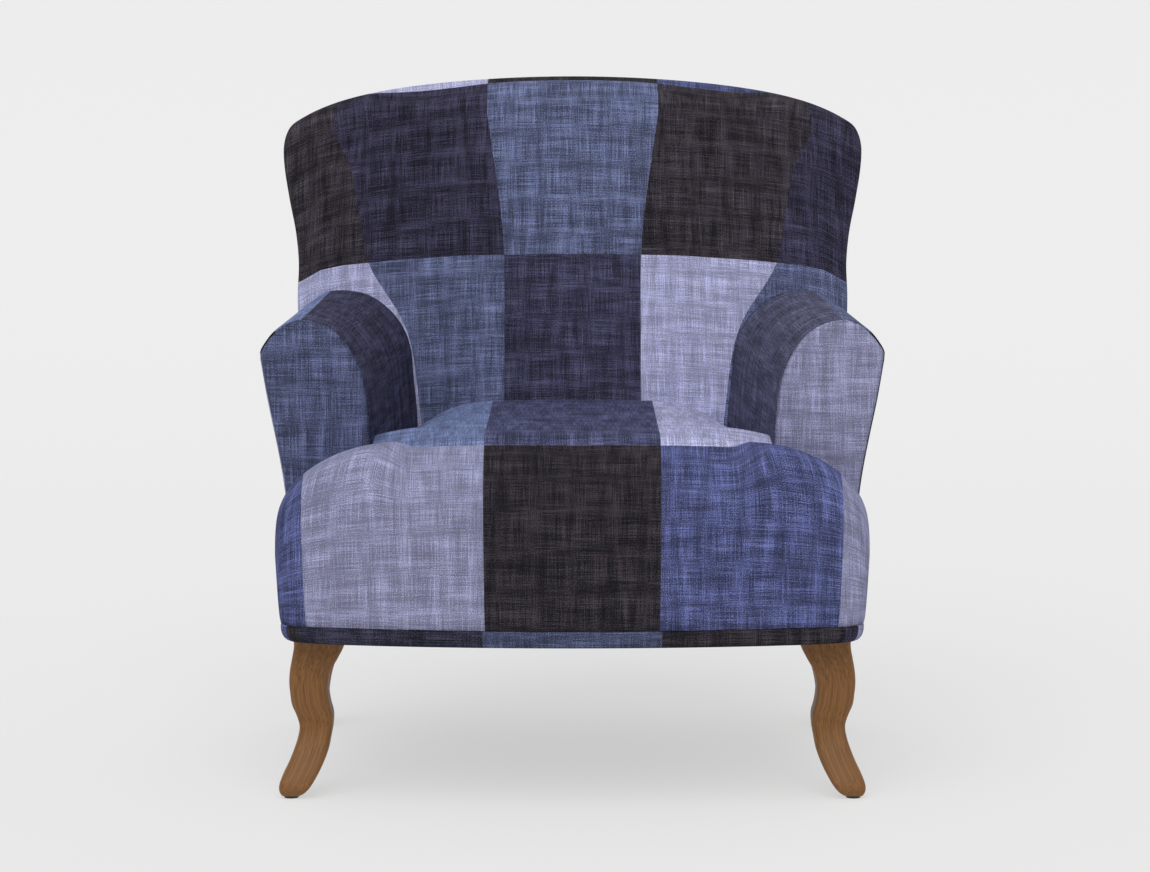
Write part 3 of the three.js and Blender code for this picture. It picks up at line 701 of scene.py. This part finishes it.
def build_seat_front():
    rows = []
    x = FRONT_COLUMNS
    edge_z = seat_height(x, seat_front(x), EAR_HALF)
    for t in np.linspace(0, 1, NOSE_ROWS + 1)[:-1]:
        rows.append(np.stack([x * lean_in(t), seat_front(x), mix(SEAT_FOOT, edge_z, t)], axis=1))
    to_back = smooth_step((np.abs(x) - EAR_SEAM_START) / (NARROW_START - EAR_SEAM_START))
    depth = mix(NOSE_SEAM, EAR_BACK_Y - EAR_SEAM_GAP - seat_front(x), to_back)
    for t in 1 - np.cos(np.linspace(0, 1, TOP_ROWS + 1) * math.pi / 2):
        y = seat_front(x) + depth * t
        rows.append(np.stack([x, y, seat_height(x, y, EAR_HALF)], axis=1))
    seam_row = len(rows) - 1
    start = rows[-1][:, 1]
    at_ears = smooth_step((np.abs(x) - NARROW_START) / NARROW_BLEND)
    for t in np.linspace(0, 1, EAR_ROWS + 1)[1:]:
        y = mix(start, EAR_BACK_Y, t)
        edge_drop = shoulder((1 - t) * (EAR_BACK_Y - start), *WALL_EDGE) * at_ears
        rows.append(np.stack([x, y, seat_height(x, y, EAR_HALF) - edge_drop], axis=1))
    return np.array(rows), seam_row


def build_seat_rear():
    rows = []
    for t in np.linspace(0, 1, REAR_ROWS + 1):
        narrow = arm_inside_x(mix(EAR_BACK_Y, INSIDE_Y, t)) if t else NARROW_START
        x = both_sides(np.concatenate([np.linspace(0, SEAM_X, MIDDLE_STEPS + 1)[1:],
                                       rounding_steps(SEAM_X, narrow, ARM_SIDE_STEPS)]))
        y = mix(EAR_BACK_Y, inside_back_y(x, SEAT_TUCK_LEVEL) - CLEARANCE, t)
        half = mix(EAR_HALF, narrow, smooth_step((y - EAR_BACK_Y) / NARROW_RUN))
        rear_drop = shoulder((1 - t) * REAR_RUN, *REAR_EDGE)
        rows.append(np.stack([x, y, seat_height(x, y, half) - rear_drop], axis=1))
    return np.array(rows)


def build_ear_walls(side):
    """The side wall and the back wall of an ear, each as a grid from the band up."""
    t = np.linspace(0, 1, WALL_ROWS + 1)[:, None]
    y = np.linspace(seat_front(EAR_HALF), EAR_BACK_Y, SIDE_WALL_STEPS + 1)[None, :]
    top = seat_height(EAR_HALF, y, EAR_HALF) - shoulder(EAR_BACK_Y - y, *WALL_EDGE)
    wall = np.stack(np.broadcast_arrays(EAR_HALF * lean_in(t), y, mix(SEAT_FOOT, top, t)), axis=2)
    x = np.linspace(EAR_HALF, NARROW_START - WALL_OVERLAP, BACK_WALL_STEPS + 1)[None, :]
    at_ears = smooth_step((x - NARROW_START) / NARROW_BLEND)
    top = seat_height(x, EAR_BACK_Y, EAR_HALF) - WALL_EDGE[1] * at_ears
    back = np.stack(np.broadcast_arrays(x * lean_in(t), EAR_BACK_Y + 0 * x, mix(SEAT_FOOT, top, t)), axis=2)
    return mirrored(wall, side), mirrored(back, side)


# The darker copy of black in the front row is painted shade, and the lighter copy of lavender in the rear
# row is painted light.
FRONT_SQUARES = ("royal", "lavender", "black_in_shade", "royal", "lavender")
REAR_SQUARES = ("steel", "steel", "indigo", "lavender_in_light", "lavender_in_light")


def square_for(x, squares):
    place = int(np.searchsorted((-EAR_SEAM_X, -SEAM_X, SEAM_X, EAR_SEAM_X), x))
    return denim_index(squares[place])


def build_seat():
    front, seam_row = build_seat_front()
    rear = build_seat_rear()
    columns = front.shape[1]
    inner = rear.shape[1]
    first = (columns - inner) // 2
    points = [front.reshape(-1, 3), rear[1:].reshape(-1, 3)]
    front_weave = weave_of(front)
    rear_weave = weave_of(rear)
    rear_weave[..., 1] += front_weave[-1, 0, 1]
    weaves = [front_weave.reshape(-1, 2), rear_weave[1:].reshape(-1, 2)]
    faces = grid_faces(columns - 1, front.shape[0] - 1)
    squares = []
    for j in range(front.shape[0] - 1):
        row = FRONT_SQUARES if j < seam_row else REAR_SQUARES
        squares += [square_for((a + b) / 2, row) for a, b in zip(FRONT_COLUMNS, FRONT_COLUMNS[1:])]
    last_front = (front.shape[0] - 1) * columns + first
    rear_start = front.shape[0] * columns
    inner_squares = [square_for((a + b) / 2, REAR_SQUARES) for a, b in zip(rear[0, :, 0], rear[0, 1:, 0])]
    for j in range(rear.shape[0] - 1):
        low = last_front if j == 0 else rear_start + (j - 1) * inner
        high = rear_start + j * inner
        faces += [[low + i, low + i + 1, high + i + 1, high + i] for i in range(inner - 1)]
        squares += inner_squares
    count = rear_start + (rear.shape[0] - 1) * inner
    for side, square in ((1, "lavender"), (-1, "royal")):
        for wall in build_ear_walls(side):
            points.append(wall.reshape(-1, 3))
            weaves.append(weave_of(wall).reshape(-1, 2))
            wall_faces = grid_faces(wall.shape[1] - 1, wall.shape[0] - 1, count, flip=side < 0)
            faces += wall_faces
            squares += [denim_index(square)] * len(wall_faces)
            count += wall.shape[0] * wall.shape[1]
    return np.concatenate(points), faces, squares, np.concatenate(weaves)


points, faces, squares, weave = build_seat()
seat = add_piece("seat_upholstery", points, faces, denim_list, squares, weave, CLOTH)
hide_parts("seat_cover")

# %% [markdown]
# ## The arms
# Each arm has one section at its flat front facing and another where it dies into the back,
# and every section between is a mix of the two. The inside, the top and the roll are one
# cover. The outside is a separate flat panel that starts under the roll, and the facing is
# a padded plate with softly rounded edges, sewn to the cover all round.

# %% The arm's sections
ARM_FRONT = ((250, 290), (251, 380), (252, 445), (257, 498), (264, 530), (275, 553), (292, 575),
             (313.5, 588), (337, 592.5), (355.5, 588.5), (371, 578), (382, 565), (389.5, 551), (387.5, 534),
             (382, 500), (359, 371), (355.5, 224))
ARM_REAR = ((196, 290), (196, 380), (197, 432), (206, 496), (210, 528), (219, 553), (240, 581), (275, 604),
            (322, 608), (338, 600), (352, 587), (361, 568), (364, 552), (363, 534), (361, 500),
            (352, 371), (349, 224))
ARM_CORNERS = (8, 10, 12)
ARM_PARTS = (46, 8, 8, 34)
RIDGE_SEAM, ROLL_SEAM, PANEL_SEAM, ARM_STEPS = (sum(ARM_PARTS[:count]) for count in (1, 2, 3, 4))
ARM_END_Y = 215.0
ARM_TUCK = 58.0
EDGE_Y = FACING_Y + 1.5
ARM_STATIONS = 44
PANEL_STATIONS = 30
HALVINGS = 30

arm_front = path_parts(ARM_FRONT, ARM_CORNERS, ARM_PARTS)
arm_rear = path_parts(ARM_REAR, ARM_CORNERS, ARM_PARTS)


def back_stop(x, z):
    """How far back the arm's cloth can run at a place x, z before it meets the back."""
    edge = np.abs(x) / back_half(z)
    face = back_front_face(x, z)
    tuck = inside_back_y(x, z) + ARM_TUCK
    return np.where(edge < 1, np.minimum(face, tuck), tuck) + 1.0


def arm_grid(front_y, low_part, high_part, stations):
    """Points of the arm's skin (stations, section steps, 3) between two parts of the section."""
    front = arm_front[low_part:high_part + 1]
    rear = arm_rear[low_part:high_part + 1]
    lowest = np.zeros(len(front))
    highest = np.ones(len(front))
    for _ in range(HALVINGS):
        middle = (lowest + highest) / 2
        x = mix(front[:, 0], rear[:, 0], middle)
        z = mix(front[:, 1], rear[:, 1], middle)
        short = mix(FACING_Y, ARM_END_Y, middle) < back_stop(x, z)
        lowest = np.where(short, middle, lowest)
        highest = np.where(short, highest, middle)
    first = (front_y - FACING_Y) / (ARM_END_Y - FACING_Y)
    rows = []
    for s in range(stations + 1):
        t = mix(first, lowest, s / stations)
        rows.append(np.stack([mix(front[:, 0], rear[:, 0], t), mix(FACING_Y, ARM_END_Y, t),
                              mix(front[:, 1], rear[:, 1], t)], axis=1))
    return np.array(rows)


# %% [markdown]
# Behind the facing the cover swells a little past it on the outside of the roll, and the
# outside panel folds round the front edge. Both are rolled edges: a few rows that turn
# inward by an amount that changes along the section.

# %% Build the arm covers and outside panels
ROLL_ROWS = 6
ROLL_FORWARD = 4.5
ROLL_INSET = np.interp(np.arange(ARM_STEPS + 1), (0, RIDGE_SEAM, ROLL_SEAM, PANEL_SEAM),
                       (0.4, 0.4, 2.6, 2.0))


def inward_of(path):
    along = np.gradient(path, axis=0)
    along /= np.linalg.norm(along, axis=1, keepdims=True)
    return np.stack([along[:, 1], -along[:, 0]], axis=1)


def rolled_edge(grid, inset):
    """Adds rows that turn the front of the arm's skin in towards the facing's seam."""
    path = grid[0][:, [0, 2]]
    inward = inward_of(path)
    rows = []
    for k in range(ROLL_ROWS, 0, -1):
        turn = k / ROLL_ROWS * math.pi / 2
        moved = path + inward * (inset * (1 - math.cos(turn)))[:, None]
        forward = ROLL_FORWARD * math.sin(turn)
        rows.append(np.stack([moved[:, 0], grid[0][:, 1] - forward, moved[:, 1]], axis=1))
    return np.concatenate([np.array(rows), grid])


def arm_skin(side, low_part, high_part, stations):
    """One part of the arm's skin with its rolled front edge, as a grid and its faces."""
    grid = arm_grid(EDGE_Y + ROLL_FORWARD, low_part, high_part, stations)
    grid = mirrored(rolled_edge(grid, ROLL_INSET[low_part:high_part + 1]), side)
    return grid, grid_faces(grid.shape[1] - 1, grid.shape[0] - 1, flip=side < 0)


def build_arm(side, name, inside, upper, lower, outside):
    grid, faces = arm_skin(side, 0, PANEL_SEAM, ARM_STATIONS)
    along_section = ([inside] * RIDGE_SEAM + [upper] * (ROLL_SEAM - RIDGE_SEAM)
                     + [lower] * (PANEL_SEAM - ROLL_SEAM))
    squares = [denim_index(square) for square in along_section] * (grid.shape[0] - 1)
    cover = add_piece(f"{name}_arm_upholstery", grid.reshape(-1, 3), faces, denim_list, squares,
                      weave_of(grid).reshape(-1, 2), CLOTH)
    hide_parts(f"{name}_arm_cover")
    grid, faces = arm_skin(side, PANEL_SEAM, ARM_STEPS, PANEL_STATIONS)
    panel = add_piece(f"{name}_outside_arm_upholstery", grid.reshape(-1, 3), faces, denim_list,
                      [denim_index(outside)] * len(faces), weave_of(grid).reshape(-1, 2),
                      CLOTH)
    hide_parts(f"{name}_outside_arm_panel")


# On both arms the roll's lower strip is the darker copy of black: painted shade under the roll.
build_arm(1, "right", "smoke", "slate", "black_in_shade", "ink")
build_arm(-1, "left", "navy", "steel", "black_in_shade", "lavender")

# %% [markdown]
# The facing is one flat square of cloth over a thin pad. Its edge rounds back into the seam.
# Near the top of the roll a shallow crease follows the outside of the arch, where the cloth
# is pulled over the board.

# %% Build the arm facings
FACING_RUNGS = 30
FACING_SWELL = 2.0
FACING_EDGE = 6.0
CREASE = ((341, 579), (358, 578), (371, 570), (381, 556))
FACING_EDGE_WIDTH = 8.0
FACING_SWELL_WIDTH = 50.0
CREASE_DEPTH = 1.6
CREASE_WIDTH = 2.2
CREASE_FADE = 25.0


def crease_depth(x, z):
    line = path_parts(CREASE, (), (40,))
    distance = np.min(np.hypot(x[..., None] - line[:, 0], z[..., None] - line[:, 1]), axis=-1)
    fade = smooth_step((x - CREASE[0][0]) / CREASE_FADE)
    return CREASE_DEPTH * np.exp(-(distance / CREASE_WIDTH) ** 2) * fade


def build_facing(side, name, square):
    outline = arm_front + inward_of(arm_front) * ROLL_INSET[:, None]
    half = ARM_STEPS // 2
    across = np.linspace(0, 1, FACING_RUNGS + 1)[:, None]
    flat = np.array([mix(outline[i], outline[ARM_STEPS - i], across) for i in range(half + 1)])
    distance = np.min(np.linalg.norm(flat[:, :, None] - outline[None, None], axis=3), axis=2)
    y = EDGE_Y - FACING_EDGE + shoulder(distance, FACING_EDGE_WIDTH, FACING_EDGE)
    y = y - FACING_SWELL * smooth_step(distance / FACING_SWELL_WIDTH)
    y = y + crease_depth(flat[..., 0], flat[..., 1])
    grid = mirrored(np.stack([flat[..., 0], y, flat[..., 1]], axis=2), side)
    faces = grid_faces(FACING_RUNGS, half, flip=side < 0)
    weave = grid[..., [0, 2]].reshape(-1, 2)
    facing = add_piece(f"{name}_arm_facing_upholstery", grid.reshape(-1, 3), faces, denim_list,
                       [denim_index(square)] * len(faces), weave, CLOTH)
    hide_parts(f"{name}_arm_facing")


build_facing(1, "right", "lavender")
# The left facing's darker copy of slate is painted shade.
build_facing(-1, "left", "slate_in_shade")

# %% [markdown]
# ## The band
# A narrow padded band closes the base all round. Its outline in plan is the base's: bowed at
# the front, rounded at the rear. Its lower edge is rounded in under the chair.

# %% Build the band
BAND_WIDTH = 11.5
BAND_STEPS = 520
CORNER_START = 290.0
CORNER_RUN = 60.0
EDGE_IN = (6.0, 11.0)
EDGE_UP = (6.0, 17.0)
REAR_CORNER_Y = 60.0
REAR_CORNER_RUN = 0.79
REAR_CORNER_REACH = 0.72
SIDE_BAND_Y = -200.0


def base_outline(inset, count):
    side = BASE_HALF - inset
    rear_side = BASE_REAR_HALF - inset
    edge = side - BASE_CORNER
    right = [(x, bow(x) + inset) for x in np.linspace(0, edge, 30)]
    corner_y = bow(side) + inset
    for t in np.linspace(0, 1, 14)[1:]:
        start = np.array([edge, bow(edge) + inset])
        middle = np.array([side, corner_y])
        end = np.array([side, corner_y + BASE_CORNER])
        right.append(tuple((1 - t) ** 2 * start + 2 * t * (1 - t) * middle + t * t * end))
    right.append((rear_side, REAR_CORNER_Y))
    rear = REAR_Y - inset
    knots = np.array([(rear_side, REAR_CORNER_Y), (rear_side, mix(REAR_CORNER_Y, rear, REAR_CORNER_RUN)),
                      (rear_side * REAR_CORNER_REACH, rear), (0, rear)])
    for t in np.linspace(0, 1, 40)[1:]:
        point = ((1 - t) ** 3 * knots[0] + 3 * t * (1 - t) ** 2 * knots[1]
                 + 3 * t * t * (1 - t) * knots[2] + t**3 * knots[3])
        right.append(tuple(point))
    right = np.array(right)
    left = right[::-1][1:-1] * [-1, 1]
    loop = np.concatenate([right, left])
    closed = np.concatenate([loop, loop[:1]])
    length = arc_lengths(closed, 0)
    even = np.linspace(0, length[-1], count + 1)[:-1]
    return np.stack([np.interp(even, length, closed[:, axis]) for axis in range(2)], axis=1)


# Most of the band's front is darker copies of black, ink and slate: painted shade.
BAND_SQUARES = ((-351, "royal"), (-333, "black_in_shade"), (-SEAM_X, "ink_in_shade"), (SEAM_X, "slate_in_deep_shade"), (336, "black_in_shade"),
                (351, "ink"), (999, "lavender"))


def build_band():
    outer = base_outline(0, BAND_STEPS)
    inner = base_outline(BAND_WIDTH, BAND_STEPS)
    count = len(outer)
    to_side = smooth_step((np.abs(outer[:, 0]) - CORNER_START) / CORNER_RUN)
    round_in = mix(*EDGE_IN, to_side)
    round_up = mix(*EDGE_UP, to_side)
    rings = []
    for angle in np.linspace(math.pi / 2, 0, 8):
        rings.append((round_in * (1 - math.cos(angle)), BASE_BOTTOM + round_up * (1 - math.sin(angle))))
    for inset, z in ((0, BAND_TOP - 1.8), (0.6, BAND_TOP - 0.6), (1.8, BAND_TOP - 0.1),
                     (BAND_WIDTH, BAND_TOP - 0.1), (BAND_WIDTH, BASE_BOTTOM)):
        rings.append((np.full(count, inset), np.full(count, z)))
    points = []
    for inset, z in rings:
        ring = outer + (inner - outer) * (inset / BAND_WIDTH)[:, None]
        points.append(np.column_stack([ring, z]))
    points = np.array(points)
    weave = np.zeros((len(rings), count, 2))
    weave[..., 0] = arc_lengths(outer, 0)
    weave[..., 1] = points[..., 2]
    faces = []
    squares = []
    for r in range(len(rings)):
        nxt = (r + 1) % len(rings)
        for i in range(count):
            j = (i + 1) % count
            faces.append([r * count + i, r * count + j, nxt * count + j, nxt * count + i])
            middle = (outer[i] + outer[j]) / 2
            name = next(square for limit, square in BAND_SQUARES if middle[0] < limit)
            squares.append(denim_index("ink" if middle[1] > SIDE_BAND_Y else name))
    return points.reshape(-1, 3), faces, squares, weave.reshape(-1, 2)


points, faces, squares, weave = build_band()
band = add_piece("base_band_upholstery", points, faces, denim_list, squares, weave)
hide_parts("base_band")

# %% [markdown]
# ## Wood
# The legs are stained beech, sawn to shape and rounded over by hand. The grain runs down the
# leg. Fine dark pores, a slower wave of growth rings and a satin finish make it read as wood.

# %% Wood finishes
def wood(name, dark, light, roughness, streak=2.4, run=150.0, along=None):
    """Wood whose grain runs up the Z of a place: the object's, or an attribute of the mesh."""
    g = Graph(name)
    if along:
        place = g.add("ShaderNodeAttribute", attribute_name=along).outputs["Vector"]
    else:
        place = g.add("ShaderNodeTexCoord").outputs["Object"]
    fine = 1000 / streak
    grain = g.noise(place, (fine, fine, 1000 / run), 3.0, 0.6)
    rings = g.noise(place, (fine * 0.3, fine * 0.3, 1000 / (run * 2)), 2.0)
    pores = g.ramp(g.noise(place, (fine * 2.4, fine * 2.4, 1000 / (run * 0.3)), 1.0), 0.60, 0.80)
    tone = g.ramp(g.math("MULTIPLY_ADD", grain, 0.7, g.math("MULTIPLY", rings, 0.3)), 0.34, 0.66)
    color = g.blend(tone, dark, light)
    color = g.blend(g.math("MULTIPLY", pores, 0.4), color, dark)
    return g.finish(color, roughness, g.math("SUBTRACT", grain, pores), 0.0001, Specular_IOR_Level=0.25)


leg_wood = wood("stained_leg_wood", srgb(96, 64, 34), srgb(142, 99, 56), 0.5, 1.1, 220.0, along="grain")
frame_wood = wood("raw_beech", srgb(176, 138, 96), srgb(214, 180, 137), 0.75)

# %% [markdown]
# ## Legs
# A leg is a loft: a rounded square swept down a curve. The front legs swell at the knee, pull
# in at the ankle and kick out at the foot, and a second bend draws the ankle rearward. The
# rear legs are plain and raked, as they are on most such chairs.

# %% Build the legs
FRONT_LEG = ((3.3, 350, 11.0), (6, 348.5, 14.5), (10, 347, 17.5), (17.6, 344, 20.5), (25, 340.5, 21.5),
             (40, 333, 21.8), (55, 327, 21.6), (70, 323, 20.6), (85, 320.5, 20.6), (100, 322, 22.6),
             (114, 326, 23.6), (129, 327.8, 23.6), (144, 328, 24.2), (159, 325.5, 25.6), (174, 320, 28.5),
             (189, 315, 31.0), (202.7, 314, 32.5))
REAR_LEG = ((3.3, 356, 12.5), (8, 355.5, 15), (40, 354, 17), (75, 350, 18.5), (108, 340, 19.5),
            (150, 326, 21), (202.7, 312, 24))
FRONT_BEND = ((3.3, 0), (10, 0), (30, 3), (55, 9), (75, 13.5), (90, 15), (105, 14), (125, 10.5), (145, 6),
              (165, 2.5), (185, 0.5), (202.7, 0))
NO_BEND = ((3.3, 0), (100, 0), (202.7, 0))
LEG_ROWS = 70
LEG_SIDES = 48
SOLE_LEVELS = (3.3, 4.2, 5.4, 7.2)
SOLE_TOP = 8.5
EDGE_SQUARE = 7.0
FRONT_LEG_Y = -262.0
REAR_LEG_Y = 138.0
LEG_KICK = 0.7


def build_leg(name, stations, bend, start_y, kick, side):
    stations = np.array(stations, float)
    levels = np.linspace(stations[0, 0], stations[-1, 0], LEG_ROWS + 1)
    levels = np.concatenate([SOLE_LEVELS, levels[levels > SOLE_TOP]])
    x = smooth_curve(stations[:, 0], stations[:, 1], levels)
    half = smooth_curve(stations[:, 0], stations[:, 2], levels)
    bend = np.array(bend, float)
    y = start_y + kick * (x - stations[-1, 1]) + smooth_curve(bend[:, 0], bend[:, 1], levels)
    turn = (np.arange(LEG_SIDES) + 0.5) / LEG_SIDES * 2 * math.pi
    cosine = np.cos(turn)
    sine = np.sin(turn)
    swell = 1 / (np.abs(cosine) ** EDGE_SQUARE + np.abs(sine) ** EDGE_SQUARE) ** (1 / EDGE_SQUARE)
    across = half[:, None] * cosine * swell
    along = half[:, None] * sine * swell
    height = levels[:, None] + 0 * cosine
    rings = np.stack([x[:, None] + across, y[:, None] + along, height], axis=2)
    points = mirrored(rings.reshape(-1, 3), side)
    faces = []
    for r in range(len(levels) - 1):
        for i in range(LEG_SIDES):
            j = (i + 1) % LEG_SIDES
            low = r * LEG_SIDES
            high = low + LEG_SIDES
            quad = [low + i, low + j, high + j, high + i]
            faces.append(quad if side > 0 else quad[::-1])
    bottom = list(range(LEG_SIDES))
    top = [(len(levels) - 1) * LEG_SIDES + i for i in range(LEG_SIDES)]
    faces.append(bottom[::-1] if side > 0 else bottom)
    faces.append(top if side > 0 else top[::-1])
    leg = add_piece(f"{name}_shaped", points, faces, [leg_wood], [0] * len(faces), None)
    straight = np.stack([across, along, height], axis=2)
    grain = leg.data.attributes.new("grain", "FLOAT_VECTOR", "POINT")
    grain.data.foreach_set("vector", (mirrored(straight.reshape(-1, 3), side) * MM).ravel())
    leg.data.polygons[-1].use_smooth = False
    leg.data.polygons[-2].use_smooth = False
    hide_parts(name)


for side, word in ((1, "right"), (-1, "left")):
    build_leg(f"{word}_front_leg", FRONT_LEG, FRONT_BEND, FRONT_LEG_Y, -LEG_KICK, side)
    build_leg(f"{word}_rear_leg", REAR_LEG, NO_BEND, REAR_LEG_Y, LEG_KICK, side)

# %% [markdown]
# ## Finishes inside the chair
# The frame, springs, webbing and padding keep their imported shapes, and each gets the finish
# of its own material, so that the chair also looks right when it is taken apart.

# %% Inner finishes
def plain_weave(name, dark, light, thread, roughness=0.95):
    g = Graph(name)
    place = g.add("ShaderNodeTexCoord").outputs["Object"]
    fine = 1000 / thread
    one = g.noise(place, (fine, fine * 0.08, fine * 0.08), 2.0)
    two = g.noise(place, (fine * 0.08, fine, fine), 2.0)
    threads = g.ramp(g.math("MULTIPLY", g.math("ADD", one, two), 0.5), 0.35, 0.65)
    return g.finish(g.blend(threads, dark, light), roughness, threads, 0.0003)


def soft_foam(name, dark, light):
    g = Graph(name)
    place = g.add("ShaderNodeTexCoord").outputs["Object"]
    cells = g.noise(place, (700.0, 700.0, 700.0), 2.0)
    slow = g.noise(place, (9.0, 9.0, 9.0), 2.0)
    tone = g.ramp(g.math("MULTIPLY", g.math("ADD", cells, slow), 0.5), 0.3, 0.7)
    return g.finish(g.blend(tone, dark, light), 0.95, cells, 0.0004)


def drawn_metal(name, dark, light):
    g = Graph(name)
    place = g.add("ShaderNodeTexCoord").outputs["Object"]
    lines = g.noise(place, (900.0, 900.0, 60.0), 2.0)
    return g.finish(g.blend(g.ramp(lines, 0.3, 0.7), dark, light), 0.38, lines, 0.00005, Metallic=0.9)


def moulded(name, dark, light):
    g = Graph(name)
    place = g.add("ShaderNodeTexCoord").outputs["Object"]
    grain = g.noise(place, (1200.0, 1200.0, 1200.0), 1.0)
    return g.finish(g.blend(grain, dark, light), 0.6, grain, 0.00005)


INNER_FINISHES = {
    "foam": soft_foam("seat_foam_finish", srgb(206, 190, 150), srgb(236, 224, 192)),
    "jute": plain_weave("jute_finish", srgb(128, 100, 62), srgb(186, 156, 108), 2.4),
    "black_lining": plain_weave("lining_finish", srgb(20, 20, 22), srgb(44, 44, 47), 0.9),
    "frame_beech": frame_wood,
    "leg_wood": leg_wood,
    "spring_steel": drawn_metal("spring_steel_finish", srgb(120, 122, 126), srgb(176, 178, 182)),
    "nylon": moulded("nylon_finish", srgb(30, 30, 32), srgb(52, 52, 55)),
}
slot_of = {row["node"]: row["material_slot"] for row in frame["record"]["subparts"]}
for node, obj in frame["nodes"].items():
    finish = INNER_FINISHES.get(slot_of[node])
    if finish:
        for material_slot in obj.material_slots:
            material_slot.material = finish
print("inner finishes:", len(INNER_FINISHES))

# %% [markdown]
# ## The studio
# A pale floor that sweeps up into a backdrop, one soft light from above and in front, and a
# world that fills the shadows. The light stays at a plain level, so that each colour renders
# about as it is written.

# %% Build the floor and light it
FLOOR_FRONT = -7.0
FLOOR_REAR = 2.5
SWEEP_RADIUS = 2.5
BACKDROP_TOP = 8.0
FLOOR_HALF = 9.0
WORLD_STRENGTH = 0.64
LIGHT_DIRECTION = (0.12, 0.58, -0.8)
LIGHT_POWER = 1.6
LIGHT_SPREAD = 60


def build_floor():
    profile = [(FLOOR_FRONT, 0.0), (FLOOR_REAR, 0.0)]
    for t in np.linspace(0, 1, 13)[1:]:
        angle = t * math.pi / 2
        profile.append((FLOOR_REAR + SWEEP_RADIUS * math.sin(angle), SWEEP_RADIUS * (1 - math.cos(angle))))
    profile.append((FLOOR_REAR + SWEEP_RADIUS, BACKDROP_TOP))
    points = [(x, y, z) for y, z in profile for x in (-FLOOR_HALF, FLOOR_HALF)]
    faces = [[2 * i, 2 * i + 1, 2 * i + 3, 2 * i + 2] for i in range(len(profile) - 1)]
    mesh = bpy.data.meshes.new("studio_floor")
    mesh.from_pydata(points, [], faces)
    mesh.polygons.foreach_set("use_smooth", [True] * len(faces))
    floor = bpy.data.objects.new("studio_floor", mesh)
    bpy.context.collection.objects.link(floor)
    g = Graph("studio_paper")
    paper = srgb(140, 140, 140)
    glow = srgb(194, 194, 194)
    finish = g.finish(paper, 1.0, Specular_IOR_Level=0.0, Emission_Color=glow, Emission_Strength=1.0)
    mesh.materials.append(finish)


build_floor()

scene = bpy.context.scene
scene.view_settings.view_transform = "Standard"
world = bpy.data.worlds.new("studio_world")
scene.world = world
world.use_nodes = True
background = world.node_tree.nodes["Background"]
background.inputs["Color"].default_value = (1.0, 1.0, 1.0, 1.0)
background.inputs["Strength"].default_value = WORLD_STRENGTH


def soft_sun(name, direction, power, spread):
    data = bpy.data.lights.new(name, "SUN")
    data.energy = power
    data.angle = math.radians(spread)
    lamp = bpy.data.objects.new(name, data)
    x, y, z = direction
    lamp.rotation_euler = (math.atan2(math.hypot(x, y), -z), 0, math.atan2(-x, y))
    lamp.location = (-2 * x, -2 * y, -2 * z)
    bpy.context.collection.objects.link(lamp)


soft_sun("high_front_light", LIGHT_DIRECTION, LIGHT_POWER, LIGHT_SPREAD)
